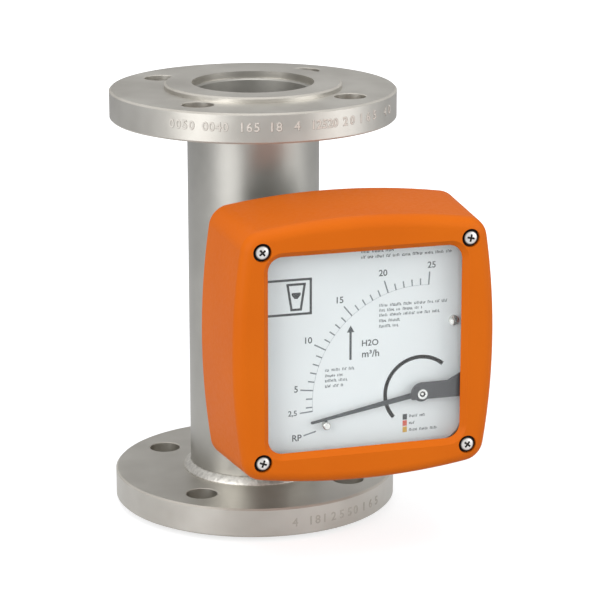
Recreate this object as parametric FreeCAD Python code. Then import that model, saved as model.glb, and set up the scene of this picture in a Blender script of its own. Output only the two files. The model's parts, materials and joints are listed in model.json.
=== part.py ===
import FreeCAD, Part
import math
import os

# All-metal variable-area flow meter for a DN50 PN40 line, standing upright, in millimetres.
# Origin: centre of the lower flange's sealing face. Z runs up the measuring tube.
# The indicator looks along -Y. Inside it, u runs right and v runs up from the hood's centre.
# Dial angles start at the left and run clockwise, as the pointer climbs.

# Pipe run
tube_outer = 76.1
tube_wall = 3.6
flange_lip = 2.9
flange_rim_thickness = 17.0
raised_face_height = 3.0
bolt_circle = 125.0
bolt_to_rim = 20.0
bolt_to_raised_face = 11.5
raised_face_chamfer = 1.0
bolt_count = 4
bolt_hole = 18.0
rim_chamfer = 1.0
bolt_hole_chamfer = 0.4
tube_setback = 4.0
socket_clearance = 0.05
weld_leg = 4.2
weld_crown = 0.5
weld_clearance = 0.02

# Metering insert and the float's guides
insert_clearance = 0.1
insert_wall = 1.9
throat_step = 3.95
outlet_step = 1.45
guide_height = 12.0
guide_clearance = 0.1
guide_ring_wall = 2.4
guide_hub_diameter = 17.0
guide_web_count = 3
guide_web_thickness = 2.5
guide_web_end_height = 7.0
guide_web_root = 1.0
bush_diameter = 12.0
bush_collar_diameter = 15.6
bush_collar_height = 1.5
bush_clearance = 0.02
cone_below_edge = 4.0
cone_overrun = 11.0
entry_chamfer = 0.8
snap_ring_thickness = 1.6
snap_ring_width = 3.0
snap_ring_bite = 0.9
snap_groove_clearance = 0.1
snap_ring_gap_angle = 24.0
snap_lug_radius = 2.3
snap_lug_hole = 1.6

# Float
float_travel = 45.0
rod_diameter = 8.0
rod_running_clearance = 0.05
rod_spare = 0.6
rod_end_room = 6.4
rod_chamfer = 0.8
rod_fit = 0.02
stop_gap = 0.3
stop_sleeve_diameter = 13.0
lower_sleeve_length = 14.2
upper_sleeve_length = 5.0
float_edge_gap = 0.6
float_nose_height = 18.0
float_nose_diameter = 14.0
float_edge_height = 1.2
float_neck_height = 8.0
float_barrel_diameter = 38.0
float_barrel_height = 21.0
magnet_outer = 32.0
magnet_inner = 12.2
magnet_height = 16.0
magnet_fit = 0.1
cap_plug_depth = 4.0
cap_rim_height = 3.0
cap_cone_height = 3.0

# Hood of the indicator
hood_depth = 59.0
hood_half = 69.2
hood_bulge = 4.5
hood_corner = 12.4
hood_draft = 3.0
hood_wall = 3.5
hood_edge_radius = 6.5
cover_screw_inset = 10.7
cover_boss_radius = 5.0
boss_web_thickness = 3.0
boss_root = 0.4
counterbore_radius = 5.1
counterbore_depth = 3.6
cover_screw_clearance_hole = 4.5

# Window
window_rim = 14.4
window_corner = 8.0
window_bevel = 3.0
glass_lap = 5.2
glass_corner = 20.0
glass_thickness = 3.0
window_gasket_thickness = 0.5
window_gasket_setback = 0.8
window_frame_thickness = 1.0
window_frame_inset = 1.7
window_frame_inner_corner = 12.3
window_ear_radius = 3.5
window_boss_gap = 2.1
window_boss_radius = 3.2
window_screw_diameter = 2.5
window_screw_head = 4.8
window_screw_head_height = 1.6
window_screw_length = 2.5
window_screw_blind = 0.5
screw_edge = 0.4

# Cover screws
cover_screw_diameter = 4.0
cover_screw_head = 7.5
cover_screw_head_height = 2.0
cover_screw_head_dome = 0.8
cover_screw_seal_thickness = 1.0
cover_screw_seal_clearance = 0.15
cover_screw_recess = 4.2
cover_screw_recess_width = 1.1
cover_screw_recess_depth = 1.5
cover_screw_end_clearance = 1.0
thread_clearance = 0.05

# Base casting behind the hood
base_inset = 1.5
base_plate_thickness = 5.5
base_edge_radius = 2.0
base_back_height = 8.0
base_box_inset = 14.2
base_back_corner = 14.0
base_back_draft = 1.5
base_back_edge_radius = 2.0
base_floor = 4.0
base_box_wall = 5.0
base_pocket_corner = 10.0
base_boss_radius = 5.5
base_boss_length = 11.5
base_boss_hole_depth = 9.5
bracket_boss_height = 4.0
bracket_hole_blind = 0.5
hood_gasket_thickness = 1.5
hood_gasket_inset = 0.3

# Bracket between the tube and the base casting
bracket_thickness = 3.0
bracket_standoff = 20.85
bracket_inset = 17.0
bracket_half_width = 13.0
bracket_inner_bend = 3.0
bracket_tube_gap = 0.1
bracket_corner = 6.0
bracket_screw_inset = 9.0
bracket_screw_from_edge = 10.0
bracket_screw_from_crown = 8.0
bracket_screw_diameter = 5.0
bracket_screw_hole = 5.5
bracket_screw_head = 8.5
bracket_screw_head_height = 5.0
bracket_screw_length = 9.0
bracket_screw_socket = 4.0
bracket_screw_socket_depth = 2.5
bracket_weld_reach = 3.0
bracket_weld_inset = 4.0
bracket_weld_first_angle = 8.0
bracket_weld_last_angle = 48.0

# Dial
dial_thickness = 1.0
dial_side_gap = 1.7
dial_boss_gap = 0.5
dial_corner = 1.5
dial_left_screw_inset = 5.5
dial_right_screw_inset = 10.5
dial_screw_v = 10.1
dial_screw_diameter = 3.0
dial_screw_head = 5.6
dial_screw_head_height = 1.2
dial_screw_head_dome = 0.7
dial_screw_length = 8.0
dial_screw_slot = 0.7
dial_screw_slot_depth = 0.7
dial_screw_slot_angle = 60.0
dial_screw_blind = 1.0
dial_post_radius = 3.2
axis_from_right = 29.6
axis_from_bottom = 34.5
slot_radius = 20.03
slot_width = 1.6
slot_first_angle = -41.5
slot_last_angle = 131.3
axis_hole = 6.0

# Pointer and its stop
pointer_rest_angle = -10.4
pointer_above_dial = 2.2
pointer_thickness = 0.7
pointer_length = 64.4
pointer_root_width = 3.2
pointer_tip_width = 1.4
pointer_eye_radius = 4.0
pointer_tab_from_tip = 8.5
pointer_tab_width = 1.6
pointer_tab_length = 1.5
hub_disc_radius = 4.6
hub_disc_thickness = 0.55
hub_boss_radius = 2.5
hub_boss_length = 1.8
hub_fit = 0.05
stop_pin_radius = 2.15
stop_pin_above_pointer = 0.7
stop_pin_edge = 0.5
stop_pin_shank = 2.0
stop_pin_shank_length = 1.8

# Bridge that carries the front bearing
bridge_thickness = 1.0
bridge_hub_gap = 0.3
bridge_end_radius = 6.6
bridge_drop = 3.0
bridge_kink = 14.6
bridge_slope_angle = 27.9
bridge_foot_length = 4.4
bridge_foot_inset = 0.4
bridge_screw_from_end = 2.0
bridge_screw_spacing = 8.0
bridge_screw_diameter = 2.0
bridge_screw_head = 3.6
bridge_screw_head_height = 1.0
bridge_screw_head_dome = 0.4
bridge_screw_length = 3.0
bearing_radius = 2.8
bearing_proud = 0.4
bearing_glass_gap = 0.85
bearing_fit = 0.05
bearing_oil_sink_radius = 1.75
bearing_oil_sink_depth = 0.5

# Movement behind the dial
shaft_diameter = 2.0
shaft_running_clearance = 0.05
shaft_rear_reach = 0.4
shaft_point = 0.3
mechanism_behind_dial = 32.0
mechanism_plate_thickness = 2.0
mechanism_plate_half_width = 21.0
mechanism_plate_half_height = 20.0
mechanism_plate_shift = 6.4
mechanism_plate_corner = 5.0
mechanism_post_inset = 5.0
mechanism_post_radius = 3.0
mechanism_screw_diameter = 3.0
mechanism_screw_head = 5.4
mechanism_screw_head_height = 1.4
mechanism_screw_head_dome = 0.6
mechanism_screw_length = 9.0
mechanism_screw_blind = 1.0
rear_bearing_radius = 3.0
rear_bearing_flange = 4.2
rear_bearing_flange_thickness = 0.9
damping_disc_radius = 16.0
damping_disc_thickness = 0.8
damping_disc_behind_dial = 10.4
damping_hub_radius = 3.0
damping_hub_length = 4.0
brake_reach = 13.0
brake_magnet_radius = 3.5
brake_magnet_thickness = 1.9
brake_air_gap = 0.5
brake_yoke_width = 9.0
brake_yoke_thickness = 2.0
brake_yoke_disc_gap = 2.0
carrier_behind_dial = 18.0
carrier_arm_thickness = 1.5
carrier_arm_width = 6.0
carrier_hub_radius = 4.0
carrier_hub_length = 7.0
counterweight_radius = 3.0
counterweight_length = 5.5
counterweight_reach = 13.0
follower_length = 26.0
follower_width = 11.0
follower_thickness = 5.0

# How cuts and joins are made: a cut runs past its face, a join bites into its neighbour.
past = 1.0
bite = 1.0
dome_shoulder = 0.6
dome_shoulder_drop = 0.7

# Sizes that follow from those above, up the pipe
tube_radius = tube_outer / 2
bore_radius = tube_radius - tube_wall
flange_bore_radius = tube_radius - flange_lip
flange_radius = bolt_circle / 2 + bolt_to_rim
raised_face_radius = bolt_circle / 2 - bolt_to_raised_face
flange_thickness = flange_rim_thickness + raised_face_height
insert_radius = bore_radius - insert_clearance
seat_radius = insert_radius - insert_wall
throat_radius = seat_radius - throat_step
outlet_radius = seat_radius - outlet_step
guide_radius = seat_radius - guide_clearance
rod_radius = rod_diameter / 2
float_height = (float_nose_height + float_edge_height + float_neck_height + float_barrel_height
                + cap_rim_height + cap_cone_height)
guide_span = (2 * (bush_collar_height + stop_gap) + float_travel
              + lower_sleeve_length + float_height + upper_sleeve_length)
rod_bottom = rod_end_room
lower_shoulder = rod_bottom + rod_spare + float_travel + guide_height
upper_shoulder = lower_shoulder + guide_span
rod_top = upper_shoulder + guide_height + rod_spare
face_to_face = rod_top + float_travel + rod_end_room
mid_height = face_to_face / 2
lower_stop_bottom = lower_shoulder + bush_collar_height + stop_gap
float_bottom = lower_stop_bottom + lower_sleeve_length
float_edge_z = float_bottom + float_nose_height
barrel_top = float_edge_z + float_edge_height + float_neck_height + float_barrel_height
float_top = float_bottom + float_height
upper_stop_top = float_top + upper_sleeve_length
cone_foot = float_edge_z - cone_below_edge
cone_top = cone_foot + float_travel + cone_overrun

# From the tube forwards to the glass
crown_back = -(tube_radius + bracket_tube_gap)
crown_front = crown_back - bracket_thickness
base_back = crown_front - bracket_standoff
bracket_back = base_back + bracket_thickness
bracket_outer_bend = bracket_inner_bend + bracket_thickness
pocket_floor = base_back - base_floor
base_plate_back = base_back - base_back_height
base_front = base_plate_back - base_plate_thickness
hood_back = base_front - hood_gasket_thickness
hood_front = hood_back - hood_depth
hood_inside = hood_front + hood_wall
glass_front = hood_inside + window_gasket_thickness
glass_back = glass_front + glass_thickness
window_frame_back = glass_back + window_frame_thickness
counterbore_floor = hood_front + counterbore_depth
cover_head_seat = counterbore_floor - cover_screw_seal_thickness

# From the glass back to the rear bearing
bearing_front = glass_back + bearing_glass_gap
bridge_front = bearing_front + bearing_proud
bridge_back = bridge_front + bridge_thickness
hub_front = bridge_back + bridge_hub_gap
pointer_front = hub_front + hub_disc_thickness
pointer_back = pointer_front + pointer_thickness
dial_front = pointer_back + pointer_above_dial
dial_back = dial_front + dial_thickness
disc_front = dial_back + damping_disc_behind_dial
carrier_front = dial_back + carrier_behind_dial
mechanism_plate_y = dial_back + mechanism_behind_dial
mechanism_plate_back = mechanism_plate_y + mechanism_plate_thickness
shaft_radius = shaft_diameter / 2

# Outwards from the hood's centre
screw_half = hood_half - cover_screw_inset
window_half = hood_half - window_rim
glass_half = window_half + glass_lap
window_frame_inner_half = window_half + window_frame_inset
window_ear_from_centre = glass_half + window_boss_radius + window_boss_gap
base_half = hood_half + hood_draft - base_inset
base_back_half = hood_half - base_box_inset
base_pocket_half = base_back_half - base_box_wall
bracket_height = 2 * (base_back_half - bracket_inset)
bracket_screw_u = base_back_half - bracket_screw_inset
bracket_screw_v = bracket_height / 2 - bracket_screw_from_edge
boss_reach = cover_boss_radius * math.sqrt(2)
dial_half = hood_half - hood_wall - dial_side_gap
dial_corner_sum = 2 * screw_half - boss_reach - dial_boss_gap * math.sqrt(2)
dial_left_screw_u = dial_left_screw_inset - dial_half
dial_right_screw_u = dial_half - dial_right_screw_inset
axis_u = dial_half - axis_from_right
axis_v = axis_from_bottom - dial_half
bridge_foot_end_u = dial_half - bridge_foot_inset
bridge_leg_u = bridge_foot_end_u - bridge_foot_length
bridge_screw_u = bridge_foot_end_u - bridge_screw_from_end
mechanism_plate_centre_u = axis_u - mechanism_plate_shift
pointer_tab_at = pointer_length - pointer_tab_from_tip

# The hood's centre: halfway up, and far enough right for its bracket's screws to clear the crown
hood_centre_x = bracket_screw_u - bracket_half_width - bracket_screw_from_crown
hood_centre_z = mid_height


def point(u, y, v):
    return FreeCAD.Vector(hood_centre_x + u, y, hood_centre_z + v)


def polar(angle, radius):
    a = math.radians(angle)
    return axis_u - radius * math.cos(a), axis_v + radius * math.sin(a)


def revolve_z(profile):
    corners = [FreeCAD.Vector(r, 0, z) for r, z in profile]
    face = Part.Face(Part.makePolygon(corners + corners[:1]))
    return face.revolve(FreeCAD.Vector(0, 0, 0), FreeCAD.Vector(0, 0, 1), 360)


def revolve_y(profile, u, v):
    corners = [point(u + r, y, v) for r, y in profile]
    face = Part.Face(Part.makePolygon(corners + corners[:1]))
    return face.revolve(point(u, 0, v), FreeCAD.Vector(0, 1, 0), 360)


def cylinder_y(radius, y_front, y_back, u, v):
    return Part.makeCylinder(radius, y_back - y_front, point(u, y_front, v), FreeCAD.Vector(0, 1, 0))


def cylinder_z(radius, z_low, z_high, x=0.0, y=0.0):
    return Part.makeCylinder(radius, z_high - z_low, FreeCAD.Vector(x, y, z_low))


def block(u0, u1, y0, y1, v0, v1):
    return Part.makeBox(u1 - u0, y1 - y0, v1 - v0, point(u0, y0, v0))


def extrude_y(wire, depth):
    return Part.Face(wire).extrude(FreeCAD.Vector(0, depth, 0))


def turned(shape, angle, u, v):
    # A positive angle turns clockwise seen from the front, as the pointer climbs.
    copy = shape.copy()
    copy.rotate(point(u, 0, v), FreeCAD.Vector(0, 1, 0), angle)
    return copy


def polygon_y(corners, y):
    vectors = [point(u, y, v) for u, v in corners]
    return Part.makePolygon(vectors + vectors[:1])


def corner_signs():
    return [(-1, -1), (1, -1), (1, 1), (-1, 1)]


def edges_where(shape, test):
    return [edge for edge in shape.Edges if test(edge)]


def at_y(edge, y):
    return all(abs(vertex.Y - y) < 1e-4 for vertex in edge.Vertexes)


def at_x(edge, x):
    return all(abs(vertex.X - x) < 1e-4 for vertex in edge.Vertexes)


def runs_along_y(edge):
    direction = edge.Vertexes[-1].Point - edge.Vertexes[0].Point
    return abs(direction.y) > 0.99 * direction.Length > 0


def runs_along_z(edge, x, y):
    direction = edge.Vertexes[-1].Point - edge.Vertexes[0].Point
    return at_x(edge, x) and at_y(edge, y) and abs(direction.z) > 0.99 * direction.Length > 0


def rounded_square(half, corner, y):
    # A square with round corners, centred on the hood.
    edges = []
    inner = half - corner
    for turn in range(4):
        a = math.radians(90 * turn)
        c, s = round(math.cos(a)), round(math.sin(a))
        place = [(c * p - s * q, s * p + c * q) for p, q in
                 ((-inner, half), (inner, half), (half, inner))]
        bow = inner + corner / math.sqrt(2)
        middle = (c * bow - s * bow, s * bow + c * bow)
        side = [point(p, y, q) for p, q in place]
        edges.append(Part.makeLine(side[0], side[1]))
        edges.append(Part.Arc(side[1], point(middle[0], y, middle[1]), side[2]).toShape())
    return Part.Wire(Part.__sortEdges__(edges))


def bulged_square(half, corner, y):
    # The hood's outline: four slightly bowed sides that run into round corners.
    inner = half - corner
    bow_radius = (inner ** 2 + hood_bulge ** 2) / (2 * hood_bulge)
    spread = math.asin(inner / bow_radius)
    reach = bow_radius + corner
    centre = inner + hood_bulge - bow_radius
    start = (-reach * math.sin(spread), centre + reach * math.cos(spread))
    crest = (0.0, inner + hood_bulge + corner)
    end = (-start[0], start[1])
    knee = (inner + corner / math.sqrt(2), inner + corner / math.sqrt(2))
    edges = []
    for turn in range(4):
        a = math.radians(90 * turn)
        c, s = round(math.cos(a)), round(math.sin(a))
        side = [point(c * p - s * q, y, s * p + c * q) for p, q in
                (start, crest, end, knee, (end[1], end[0]))]
        edges.append(Part.Arc(side[0], side[1], side[2]).toShape())
        edges.append(Part.Arc(side[2], side[3], side[4]).toShape())
    return Part.Wire(Part.__sortEdges__(edges))


def tapered(front_wire, back_wire):
    return Part.makeLoft([front_wire, back_wire], True, True)


def pan_head_screw(head_radius, seat, head_height, dome, shank_radius, end, u, v):
    # The head stands in front of its seat and the shank runs back to its end.
    top = seat - head_height
    profile = [point(u, top - dome, v),
               point(u + head_radius * dome_shoulder, top - dome * dome_shoulder_drop, v),
               point(u + head_radius, top, v)]
    crown = Part.Arc(profile[0], profile[1], profile[2]).toShape()
    rest = Part.makePolygon([profile[2], point(u + head_radius, seat, v), point(u + shank_radius, seat, v),
                             point(u + shank_radius, end, v), point(u, end, v), profile[0]])
    face = Part.Face(Part.Wire([crown] + rest.Edges))
    return face.revolve(point(u, 0, v), FreeCAD.Vector(0, 1, 0), 360)


def bolt_hole_tool(x, y, low, high):
    radius = bolt_hole / 2
    wide = radius + bolt_hole_chamfer
    drill = cylinder_z(radius, low - past, high + past, x, y)
    for z, direction in ((low, 1), (high, -1)):
        mouth = Part.makeCone(wide, radius, bolt_hole_chamfer, FreeCAD.Vector(x, y, z),
                              FreeCAD.Vector(0, 0, direction))
        drill = drill.fuse(mouth)
    return drill


def flange(face, inward):
    # face is the height of the sealing face, inward is the way from it towards the tube.
    rim = flange_radius
    raised = raised_face_radius
    socket = tube_radius + socket_clearance
    profile = [(flange_bore_radius, 0), (raised - raised_face_chamfer, 0),
               (raised, raised_face_chamfer), (raised, raised_face_height),
               (rim - rim_chamfer, raised_face_height), (rim, raised_face_height + rim_chamfer),
               (rim, flange_thickness - rim_chamfer), (rim - rim_chamfer, flange_thickness),
               (socket, flange_thickness), (socket, tube_setback), (flange_bore_radius, tube_setback)]
    body = revolve_z([(r, face + inward * h) for r, h in profile])
    ends = sorted((face + inward * raised_face_height, face + inward * flange_thickness))
    for index in range(bolt_count):
        a = math.radians((index + 0.5) * 360 / bolt_count)
        x = bolt_circle / 2 * math.cos(a)
        y = bolt_circle / 2 * math.sin(a)
        body = body.cut(bolt_hole_tool(x, y, ends[0], ends[1]))
    return body


def weld_bead(face, inward):
    # A convex fillet weld between the flange's back and the tube.
    foot = face + inward * flange_thickness
    inner = tube_radius + weld_clearance
    bow = weld_leg / 2 + weld_crown / math.sqrt(2)
    corner = FreeCAD.Vector(inner, 0, foot)
    on_flange = FreeCAD.Vector(inner + weld_leg, 0, foot)
    on_tube = FreeCAD.Vector(inner, 0, foot + inward * weld_leg)
    crest = FreeCAD.Vector(inner + bow, 0, foot + inward * bow)
    edges = [Part.makeLine(corner, on_flange), Part.Arc(on_flange, crest, on_tube).toShape(),
             Part.makeLine(on_tube, corner)]
    face = Part.Face(Part.Wire(edges))
    return face.revolve(FreeCAD.Vector(0, 0, 0), FreeCAD.Vector(0, 0, 1), 360)


def measuring_tube():
    low, high = tube_setback, face_to_face - tube_setback
    return cylinder_z(tube_radius, low, high).cut(cylinder_z(bore_radius, low, high))


def metering_cone():
    # The turned insert: a guide seat at each end, a throat, and the cone that meters the flow.
    low, high = tube_setback, face_to_face - tube_setback
    groove = seat_radius + snap_ring_bite + snap_groove_clearance
    groove_height = snap_ring_thickness + snap_groove_clearance
    lower_groove = lower_shoulder - guide_height
    upper_groove = upper_shoulder + guide_height
    profile = [(insert_radius, low), (insert_radius, high),
               (seat_radius + entry_chamfer, high), (seat_radius, high - entry_chamfer),
               (seat_radius, upper_groove + groove_height), (groove, upper_groove + groove_height),
               (groove, upper_groove), (seat_radius, upper_groove),
               (seat_radius, upper_shoulder), (outlet_radius, upper_shoulder),
               (outlet_radius, cone_top), (throat_radius, cone_foot),
               (throat_radius, lower_shoulder), (seat_radius, lower_shoulder),
               (seat_radius, lower_groove), (groove, lower_groove),
               (groove, lower_groove - groove_height), (seat_radius, lower_groove - groove_height),
               (seat_radius, low + entry_chamfer), (seat_radius + entry_chamfer, low)]
    return revolve_z(profile)


def guide_star(low):
    # A ring and a hub joined by three tapering webs.
    high = low + guide_height
    ring_inner = guide_radius - guide_ring_wall
    hub = guide_hub_diameter / 2
    bore = bush_diameter / 2 + bush_clearance
    ring = cylinder_z(guide_radius, low, high).cut(cylinder_z(ring_inner, low, high))
    star = ring.fuse(cylinder_z(hub, low, high))
    root = hub - guide_web_root
    tip = ring_inner + guide_ring_wall / 2
    inset = (guide_height - guide_web_end_height) / 2
    for index in range(guide_web_count):
        corners = [(root, low), (tip, low + inset), (tip, high - inset), (root, high)]
        outline = [FreeCAD.Vector(r, -guide_web_thickness / 2, z) for r, z in corners]
        web = Part.Face(Part.makePolygon(outline + outline[:1]))
        web = web.extrude(FreeCAD.Vector(0, guide_web_thickness, 0))
        web.rotate(FreeCAD.Vector(0, 0, 0), FreeCAD.Vector(0, 0, 1), 90 + 360 / guide_web_count * index)
        star = star.fuse(web)
    return star.cut(cylinder_z(bore, low, high)).removeSplitter()


def guide_bush(low, collar_up):
    # A plain sleeve with a collar on the side that the float stops against.
    high = low + guide_height
    inner = rod_radius + rod_running_clearance
    outer = bush_diameter / 2
    collar = bush_collar_diameter / 2
    if collar_up:
        profile = [(inner, low), (outer, low), (outer, high), (collar, high),
                   (collar, high + bush_collar_height), (inner, high + bush_collar_height)]
    else:
        profile = [(inner, high), (outer, high), (outer, low), (collar, low),
                   (collar, low - bush_collar_height), (inner, low - bush_collar_height)]
    return revolve_z(profile)


def snap_ring(low):
    # A flat retaining ring for a bore, with its gap and the two eyes for the pliers.
    outer = seat_radius + snap_ring_bite
    inner = outer - snap_ring_width
    high = low + snap_ring_thickness
    ring = cylinder_z(outer, low, high).cut(cylinder_z(inner, low, high))
    half_gap = math.radians(snap_ring_gap_angle / 2)
    side = 2 * outer * math.sin(half_gap)
    reach = 2 * outer * math.cos(half_gap)
    wedge = [FreeCAD.Vector(x, y, low) for x, y in ((0, 0), (side, reach), (-side, reach))]
    gap = Part.Face(Part.makePolygon(wedge + wedge[:1])).extrude(FreeCAD.Vector(0, 0, snap_ring_thickness))
    ring = ring.cut(gap)
    lug_at = inner + snap_ring_width / 2 - snap_lug_radius / 2
    for side in (-1, 1):
        x = side * lug_at * math.sin(half_gap)
        y = lug_at * math.cos(half_gap)
        ring = ring.fuse(cylinder_z(snap_lug_radius, low, high, x, y).common(cylinder_z(outer, low, high)))
        ring = ring.cut(cylinder_z(snap_lug_hole / 2, low, high, x, y))
    return ring


def float_rod():
    edge = rod_radius - rod_chamfer
    return revolve_z([(0, rod_bottom), (edge, rod_bottom), (rod_radius, rod_bottom + rod_chamfer),
                      (rod_radius, rod_top - rod_chamfer), (edge, rod_top), (0, rod_top)])


def float_body():
    # Blunt nose, sharp metering edge, then a barrel that is hollow for the magnet.
    bore = rod_radius + rod_fit
    edge = throat_radius - float_edge_gap
    neck = float_edge_z + float_edge_height + float_neck_height
    barrel = float_barrel_diameter / 2
    pocket_outer = magnet_outer / 2 + magnet_fit
    pocket_inner = magnet_inner / 2 - magnet_fit
    core_top = barrel_top - cap_plug_depth
    pocket_bottom = core_top - magnet_height - magnet_fit
    profile = [(bore, float_bottom), (float_nose_diameter / 2, float_bottom), (edge, float_edge_z),
               (edge, float_edge_z + float_edge_height), (barrel, neck), (barrel, barrel_top),
               (pocket_outer, barrel_top), (pocket_outer, pocket_bottom), (pocket_inner, pocket_bottom),
               (pocket_inner, core_top), (bore, core_top)]
    return revolve_z(profile)


def float_magnet():
    top = barrel_top - cap_plug_depth - magnet_fit / 2
    ring = cylinder_z(magnet_outer / 2, top - magnet_height, top)
    return ring.cut(cylinder_z(magnet_inner / 2, top - magnet_height, top))


def float_cap():
    bore = rod_radius + rod_fit
    plug = magnet_outer / 2
    barrel = float_barrel_diameter / 2
    rim_top = barrel_top + cap_rim_height
    return revolve_z([(bore, barrel_top - cap_plug_depth), (plug, barrel_top - cap_plug_depth),
                      (plug, barrel_top), (barrel, barrel_top), (barrel, rim_top),
                      (float_nose_diameter / 2, float_top), (bore, float_top)])


def stop_sleeve(low, high):
    sleeve = cylinder_z(stop_sleeve_diameter / 2, low, high)
    return sleeve.cut(cylinder_z(rod_radius + rod_fit, low, high))


def mounting_bracket():
    # Folded plate: its crown is welded to the tube and its feet carry the base casting.
    low = hood_centre_z - bracket_height / 2
    inner = bracket_half_width - bracket_thickness
    left = hood_centre_x - base_back_half
    right = hood_centre_x + base_back_half
    outer = bracket_half_width
    path = [(left, base_back), (-inner, base_back), (-inner, crown_front), (inner, crown_front),
            (inner, base_back), (right, base_back), (right, bracket_back), (outer, bracket_back),
            (outer, crown_back), (-outer, crown_back), (-outer, bracket_back), (left, bracket_back)]
    corners = [FreeCAD.Vector(x, y, low) for x, y in path]
    plate = Part.Face(Part.makePolygon(corners + corners[:1]))
    plate = plate.extrude(FreeCAD.Vector(0, 0, bracket_height))
    for side in (-1, 1):
        tight = [(side * inner, crown_front), (side * outer, bracket_back)]
        wide = [(side * inner, base_back), (side * outer, crown_back)]
        for radius, spots in ((bracket_inner_bend, tight), (bracket_outer_bend, wide)):
            bends = edges_where(plate, lambda edge: any(runs_along_z(edge, x, y) for x, y in spots))
            plate = plate.makeFillet(radius, bends)
    ends = edges_where(plate, lambda edge: runs_along_y(edge) and (at_x(edge, left) or at_x(edge, right)))
    plate = plate.makeFillet(bracket_corner, ends)
    for u in (-bracket_screw_u, bracket_screw_u):
        for v in (-bracket_screw_v, bracket_screw_v):
            plate = plate.cut(cylinder_y(bracket_screw_hole / 2, base_back - past, bracket_back + past, u, v))
    return plate


def bracket_weld():
    # A bead down each side of the crown, in the corner between its bend and the tube.
    low = hood_centre_z - bracket_height / 2 + bracket_weld_inset
    high = hood_centre_z + bracket_height / 2 - bracket_weld_inset
    tube = tube_radius + weld_clearance
    bend = bracket_outer_bend + weld_clearance
    bend_x = bracket_half_width - bracket_outer_bend
    bend_y = crown_back - bracket_outer_bend
    outer_x = bracket_half_width + bracket_weld_reach

    def on_tube(x):
        return FreeCAD.Vector(x, -math.sqrt(tube ** 2 - x ** 2), low)

    def on_bend(angle):
        a = math.radians(angle)
        return FreeCAD.Vector(bend_x + bend * math.sin(a), bend_y + bend * math.cos(a), low)

    start, end = on_bend(bracket_weld_first_angle), on_bend(bracket_weld_last_angle)
    on_bend_middle = on_bend((bracket_weld_first_angle + bracket_weld_last_angle) / 2)
    foot, root = on_tube(outer_x), on_tube(start.x)
    on_tube_middle = on_tube((outer_x + start.x) / 2)
    crest = (end + foot) * 0.5 + FreeCAD.Vector(weld_crown, -weld_crown, 0)
    edges = [Part.makeLine(root, start), Part.Arc(start, on_bend_middle, end).toShape(),
             Part.Arc(end, crest, foot).toShape(), Part.Arc(foot, on_tube_middle, root).toShape()]
    bead = Part.Face(Part.Wire(edges)).extrude(FreeCAD.Vector(0, 0, high - low))
    other = bead.mirror(FreeCAD.Vector(0, 0, 0), FreeCAD.Vector(1, 0, 0))
    return Part.makeCompound([bead, other])


def bracket_screws():
    # Socket head screws put in from behind.
    head = bracket_screw_head / 2
    shank = bracket_screw_diameter / 2
    key = bracket_screw_socket / math.sqrt(3)
    screws = []
    for u in (-bracket_screw_u, bracket_screw_u):
        for v in (-bracket_screw_v, bracket_screw_v):
            top = bracket_back + bracket_screw_head_height
            end = bracket_back - bracket_screw_length
            screw = revolve_y([(0, end), (shank, end), (shank, bracket_back), (head, bracket_back),
                               (head, top - screw_edge), (head - screw_edge, top), (0, top)], u, v)
            turns = [math.radians(60 * side) for side in range(6)]
            corners = [(u + key * math.cos(turn), v + key * math.sin(turn)) for turn in turns]
            floor = top - bracket_screw_socket_depth
            screws.append(screw.cut(extrude_y(polygon_y(corners, floor), bracket_screw_socket_depth + past)))
    return Part.makeCompound(screws)


def base_plate():
    # The casting that closes the hood's back: a flat flange, a shallow box behind it, and bosses.
    flange_part = extrude_y(bulged_square(base_half, hood_corner, base_front), base_plate_thickness)
    rear = edges_where(flange_part, lambda edge: at_y(edge, base_plate_back))
    flange_part = flange_part.makeFillet(base_edge_radius, rear)
    draft = base_back_draft
    box = tapered(rounded_square(base_back_half, base_back_corner, base_plate_back - bite),
                  rounded_square(base_back_half - draft, base_back_corner - draft, base_back))
    box = box.makeFillet(base_back_edge_radius, edges_where(box, lambda edge: at_y(edge, base_back)))
    body = flange_part.fuse(box)
    for p, q in corner_signs():
        u, v = p * screw_half, q * screw_half
        body = body.fuse(cylinder_y(base_boss_radius, base_front, base_front + base_boss_length, u, v))
    pocket = extrude_y(rounded_square(base_pocket_half, base_pocket_corner, base_front - past),
                       pocket_floor - base_front + past)
    body = body.cut(pocket)
    hole = cover_screw_diameter / 2 + thread_clearance
    bracket_hole = bracket_screw_diameter / 2 + thread_clearance
    depth = bracket_screw_length - bracket_thickness + bracket_hole_blind
    for p, q in corner_signs():
        body = body.cut(cylinder_y(hole, base_front - past, base_front + base_boss_hole_depth,
                                   p * screw_half, q * screw_half))
        u, v = p * bracket_screw_u, q * bracket_screw_v
        boss = cylinder_y(base_boss_radius, pocket_floor - bracket_boss_height, pocket_floor + bite, u, v)
        boss = boss.common(extrude_y(rounded_square(base_pocket_half + bite, base_pocket_corner, base_front),
                                     base_back - base_front))
        body = body.fuse(boss)
        body = body.cut(cylinder_y(bracket_hole, base_back - depth, base_back + past, u, v))
    return body.removeSplitter()


def window_screw_places():
    far = window_ear_from_centre
    return [(far, 0.0), (-far, 0.0), (0.0, far), (0.0, -far)]


def hood_gasket():
    back_half = hood_half + hood_draft
    outer = bulged_square(base_half - hood_gasket_inset, hood_corner, hood_back)
    inner = bulged_square(back_half - hood_wall, hood_corner - hood_wall, hood_back)
    ring = extrude_y(outer, hood_gasket_thickness)
    return ring.cut(extrude_y(inner, hood_gasket_thickness))


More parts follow.
